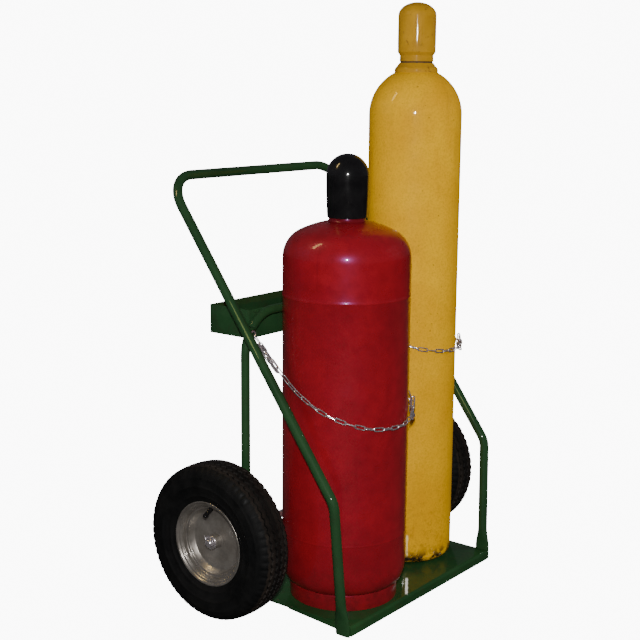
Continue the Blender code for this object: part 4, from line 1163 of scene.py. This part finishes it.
def make_yellow_cylinder():
    radius, inside = YELLOW_RADIUS, YELLOW_RADIUS - YELLOW_WALL
    last = math.degrees(math.acos(0.046 / radius))
    outer = lifted(FLOOR_Z, (0.0, 0.026), (0.03, 0.0235), (0.055, 0.016), (0.075, 0.0075),
                   (0.086, 0.0018), (0.0905, 0.0))
    outer += arc(radius - 0.022, FLOOR_Z + 0.022, 0.022, -82.0, 0.0, 12)
    outer += [(radius, z) for z in (0.2, 0.45, 0.75, 1.0, 1.15)]
    outer += arc(0.0, YELLOW_SHOULDER_Z, radius, 0.0, last, 26, height=YELLOW_SHOULDER_HEIGHT)
    outer += lifted(YELLOW_NECK_Z, (0.042, 0.001), (0.0392, 0.003), (0.0385, 0.0045))
    outer += [(0.0385, YELLOW_NECK_TOP), (0.015, YELLOW_NECK_TOP)]
    inner = lifted(YELLOW_NECK_Z, (0.015, -0.004), (0.03, -0.004))
    inner += arc(0.0, YELLOW_SHOULDER_Z, inside, 62.0, 0.0, 8, height=YELLOW_SHOULDER_HEIGHT - 0.01)
    inner += lifted(FLOOR_Z, (inside, 0.034), (0.088, 0.012), (0.055, 0.026), (0.0, 0.036))
    turned_piece("yellow_shell_smooth", outer + inner, BODY_STEPS, YELLOW_AXIS, "yellow_paint",
                 "yellow_cylinder", ["yellow_shell"], closed=False, shape=uneven(0.00035, 2.0, 4.0))
    ring = lifted(YELLOW_NECK_Z, (0.0388, 0.0005), (0.048, 0.0005), (0.0545, -0.0016),
                  (0.0546, 0.006, 0.003), (0.0525, 0.011, 0.003), (0.0485, 0.015, 0.003))
    ring += lifted(YELLOW_NECK_TOP, (0.044, -0.0015, 0.001), (0.042, 0.0, 0.0004), (0.0388, 0.0))
    turned_piece("yellow_neck_ring_smooth", rounded(ring), CAP_STEPS, YELLOW_AXIS,
                 "cap_yellow_paint", "yellow_cylinder", ["yellow_neck_ring"],
                 "yellow_paint", shape=uneven(0.00025, 4.0, 5.0))
    # Painted shade: a dark ring in the gap under the cap, where the cap's shadow falls; not a real
    # part.
    shadow_ring = lifted(YELLOW_NECK_TOP, (0.0386, -0.0005), (0.0408, -0.0003), (0.0411, 0.001),
                    (0.0408, 0.0027), (0.0386, 0.0028))
    turned_piece("yellow_neck_shadow_ring", shadow_ring, 96, YELLOW_AXIS, "tube_rubber", "yellow_cylinder",
                 shape=uneven(0.0002, 5.0, 7.0))


def make_yellow_cap():
    low, high, _ = span("yellow_cap")
    wide, base, dome_height = 0.0478, 0.0422, 0.033
    dome_z = high.z - dome_height
    outer = lifted(low.z, (base - CAP_WALL, 0.0), (base - 0.0008, 0.0, 0.0004),
                   (base + 0.0002, 0.001, 0.0008), (base - 0.0002, 0.015, 0.003),
                   (wide - 0.0004, 0.023, 0.004), (wide, 0.05, 0.01))
    outer = rounded(outer + [(wide, dome_z)], 5)
    outer += arc(0.0, dome_z, wide, 0.0, 90.0, 22, height=dome_height)
    inner = arc(0.0, dome_z, wide - CAP_WALL, 90.0, 0.0, 10, height=dome_height - CAP_WALL)
    inner += lifted(low.z, (base - CAP_WALL, 0.022), (base - CAP_WALL, 0.0002))
    turned_piece("yellow_cap_smooth", outer + inner, CAP_STEPS, YELLOW_AXIS, "cap_yellow_paint",
                 "yellow_cap", ["yellow_cap"], shape=uneven(0.00025, 4.0, 6.0))


make_red_cylinder()
make_red_cap()
make_yellow_cylinder()
make_yellow_cap()


# ---- CAD nodes that stay ----
KEPT_LOOKS = {
    "red_porous_filler": "porous_filler",
    "red_valve_body": "brass", "red_valve_outlet": "brass", "red_handwheel": "steel",
    "yellow_valve_body": "brass", "yellow_valve_outlet": "brass", "yellow_handwheel": "steel",
    "left_inner_tube": "tube_rubber", "right_inner_tube": "tube_rubber",
}
for kept_name, kept_look in KEPT_LOOKS.items():
    for material_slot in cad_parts[kept_name].material_slots:
        material_slot.material = LOOKS[kept_look]


# ---- floor, world and lights ----
BACKDROP_GLOW = 10.0
ROOM_COLOUR, ROOM_LIGHT = (0.92, 0.88, 1.0, 1.0), 0.09
FLOOR_COLOUR, FLOOR_ROUGHNESS = (0.035, 0.035, 0.035, 1.0), 0.9
FLOOR_HALF_SIZE = 30.0
FLASH_RISE = 0.22         # the flash sits this far above the camera
# Soft boxes that lift the back and the sides: name, place, power in watts.
SOFT_FILLS = (("back_fill", (3.0, 2.4, 2.6), 130.0), ("left_fill", (-2.6, 2.8, 2.2), 42.0),
              ("right_fill", (2.6, -2.8, 2.2), 85.0))


def camera_only(tree, seen, other):
    """A mix of two shaders: the first for what the camera sees, the second for the rest."""
    path = tree.nodes.new("ShaderNodeLightPath")
    mix = tree.nodes.new("ShaderNodeMixShader")
    tree.links.new(path.outputs["Is Camera Ray"], mix.inputs[0])
    tree.links.new(other, mix.inputs[1])
    tree.links.new(seen, mix.inputs[2])
    return mix.outputs[0]


def make_world():
    world = bpy.data.worlds.new("studio")
    bpy.context.scene.world = world
    world.use_nodes = True
    tree = world.node_tree
    tree.nodes.clear()

    def background(colour, strength):
        node = tree.nodes.new("ShaderNodeBackground")
        node.inputs["Color"].default_value = colour
        node.inputs["Strength"].default_value = strength
        return node.outputs[0]

    mixed = camera_only(tree, background((1.0, 1.0, 1.0, 1.0), BACKDROP_GLOW),
                        background(ROOM_COLOUR, ROOM_LIGHT))
    output = tree.nodes.new("ShaderNodeOutputWorld")
    tree.links.new(mixed, output.inputs["Surface"])


def make_floor():
    bm = bmesh.new()
    bmesh.ops.create_grid(bm, x_segments=1, y_segments=1, size=FLOOR_HALF_SIZE)
    mesh = bpy.data.meshes.new("floor")
    bm.to_mesh(mesh)
    bm.free()
    floor = put("floor", mesh)
    material = bpy.data.materials.new("pale_floor")
    material.use_nodes = True
    tree = material.node_tree
    shader = tree.nodes["Principled BSDF"]
    shader.inputs["Base Color"].default_value = FLOOR_COLOUR
    shader.inputs["Roughness"].default_value = FLOOR_ROUGHNESS
    glow = tree.nodes.new("ShaderNodeEmission")
    glow.inputs["Strength"].default_value = BACKDROP_GLOW
    both = tree.nodes.new("ShaderNodeAddShader")
    tree.links.new(shader.outputs[0], both.inputs[0])
    tree.links.new(glow.outputs[0], both.inputs[1])
    output = tree.nodes["Material Output"]
    tree.links.new(camera_only(tree, both.outputs[0], shader.outputs[0]), output.inputs["Surface"])
    mesh.materials.append(material)


def area_light(name, place, target, size, power, colour, glossy=True, diffuse=True, roll=0.0):
    data = bpy.data.lights.new(name, "AREA")
    data.shape = "RECTANGLE"
    data.size, data.size_y = size
    data.energy, data.color = power, colour
    lamp = put(name, data)
    lamp.visible_glossy, lamp.visible_diffuse = glossy, diffuse
    lamp.location = place
    lamp.rotation_mode = "QUATERNION"
    aim = (Vector(target) - Vector(place)).to_track_quat("-Z", "Y")
    lamp.rotation_quaternion = aim @ Quaternion((0.0, 0.0, 1.0), math.radians(roll))


def make_lights():
    area_light("flash", CAMERA_PLACE + Vector((0.0, 0.0, FLASH_RISE)), (0.0, -0.1, 0.7),
               (0.07, 0.14), 120.0, (1.0, 0.98, 0.96))
    area_light("warm_lamp", (-1.25, 0.75, 2.4), (0.0, 0.0, 0.9), (0.75, 0.18), 15.0,
               (1.0, 0.7, 0.26), diffuse=False, roll=90.0)
    for name, place, power in SOFT_FILLS:
        area_light(name, place, (0.0, 0.0, 0.6), (2.0, 2.0), power, (1.0, 1.0, 1.0), glossy=False)


make_world()
make_floor()
make_lights()
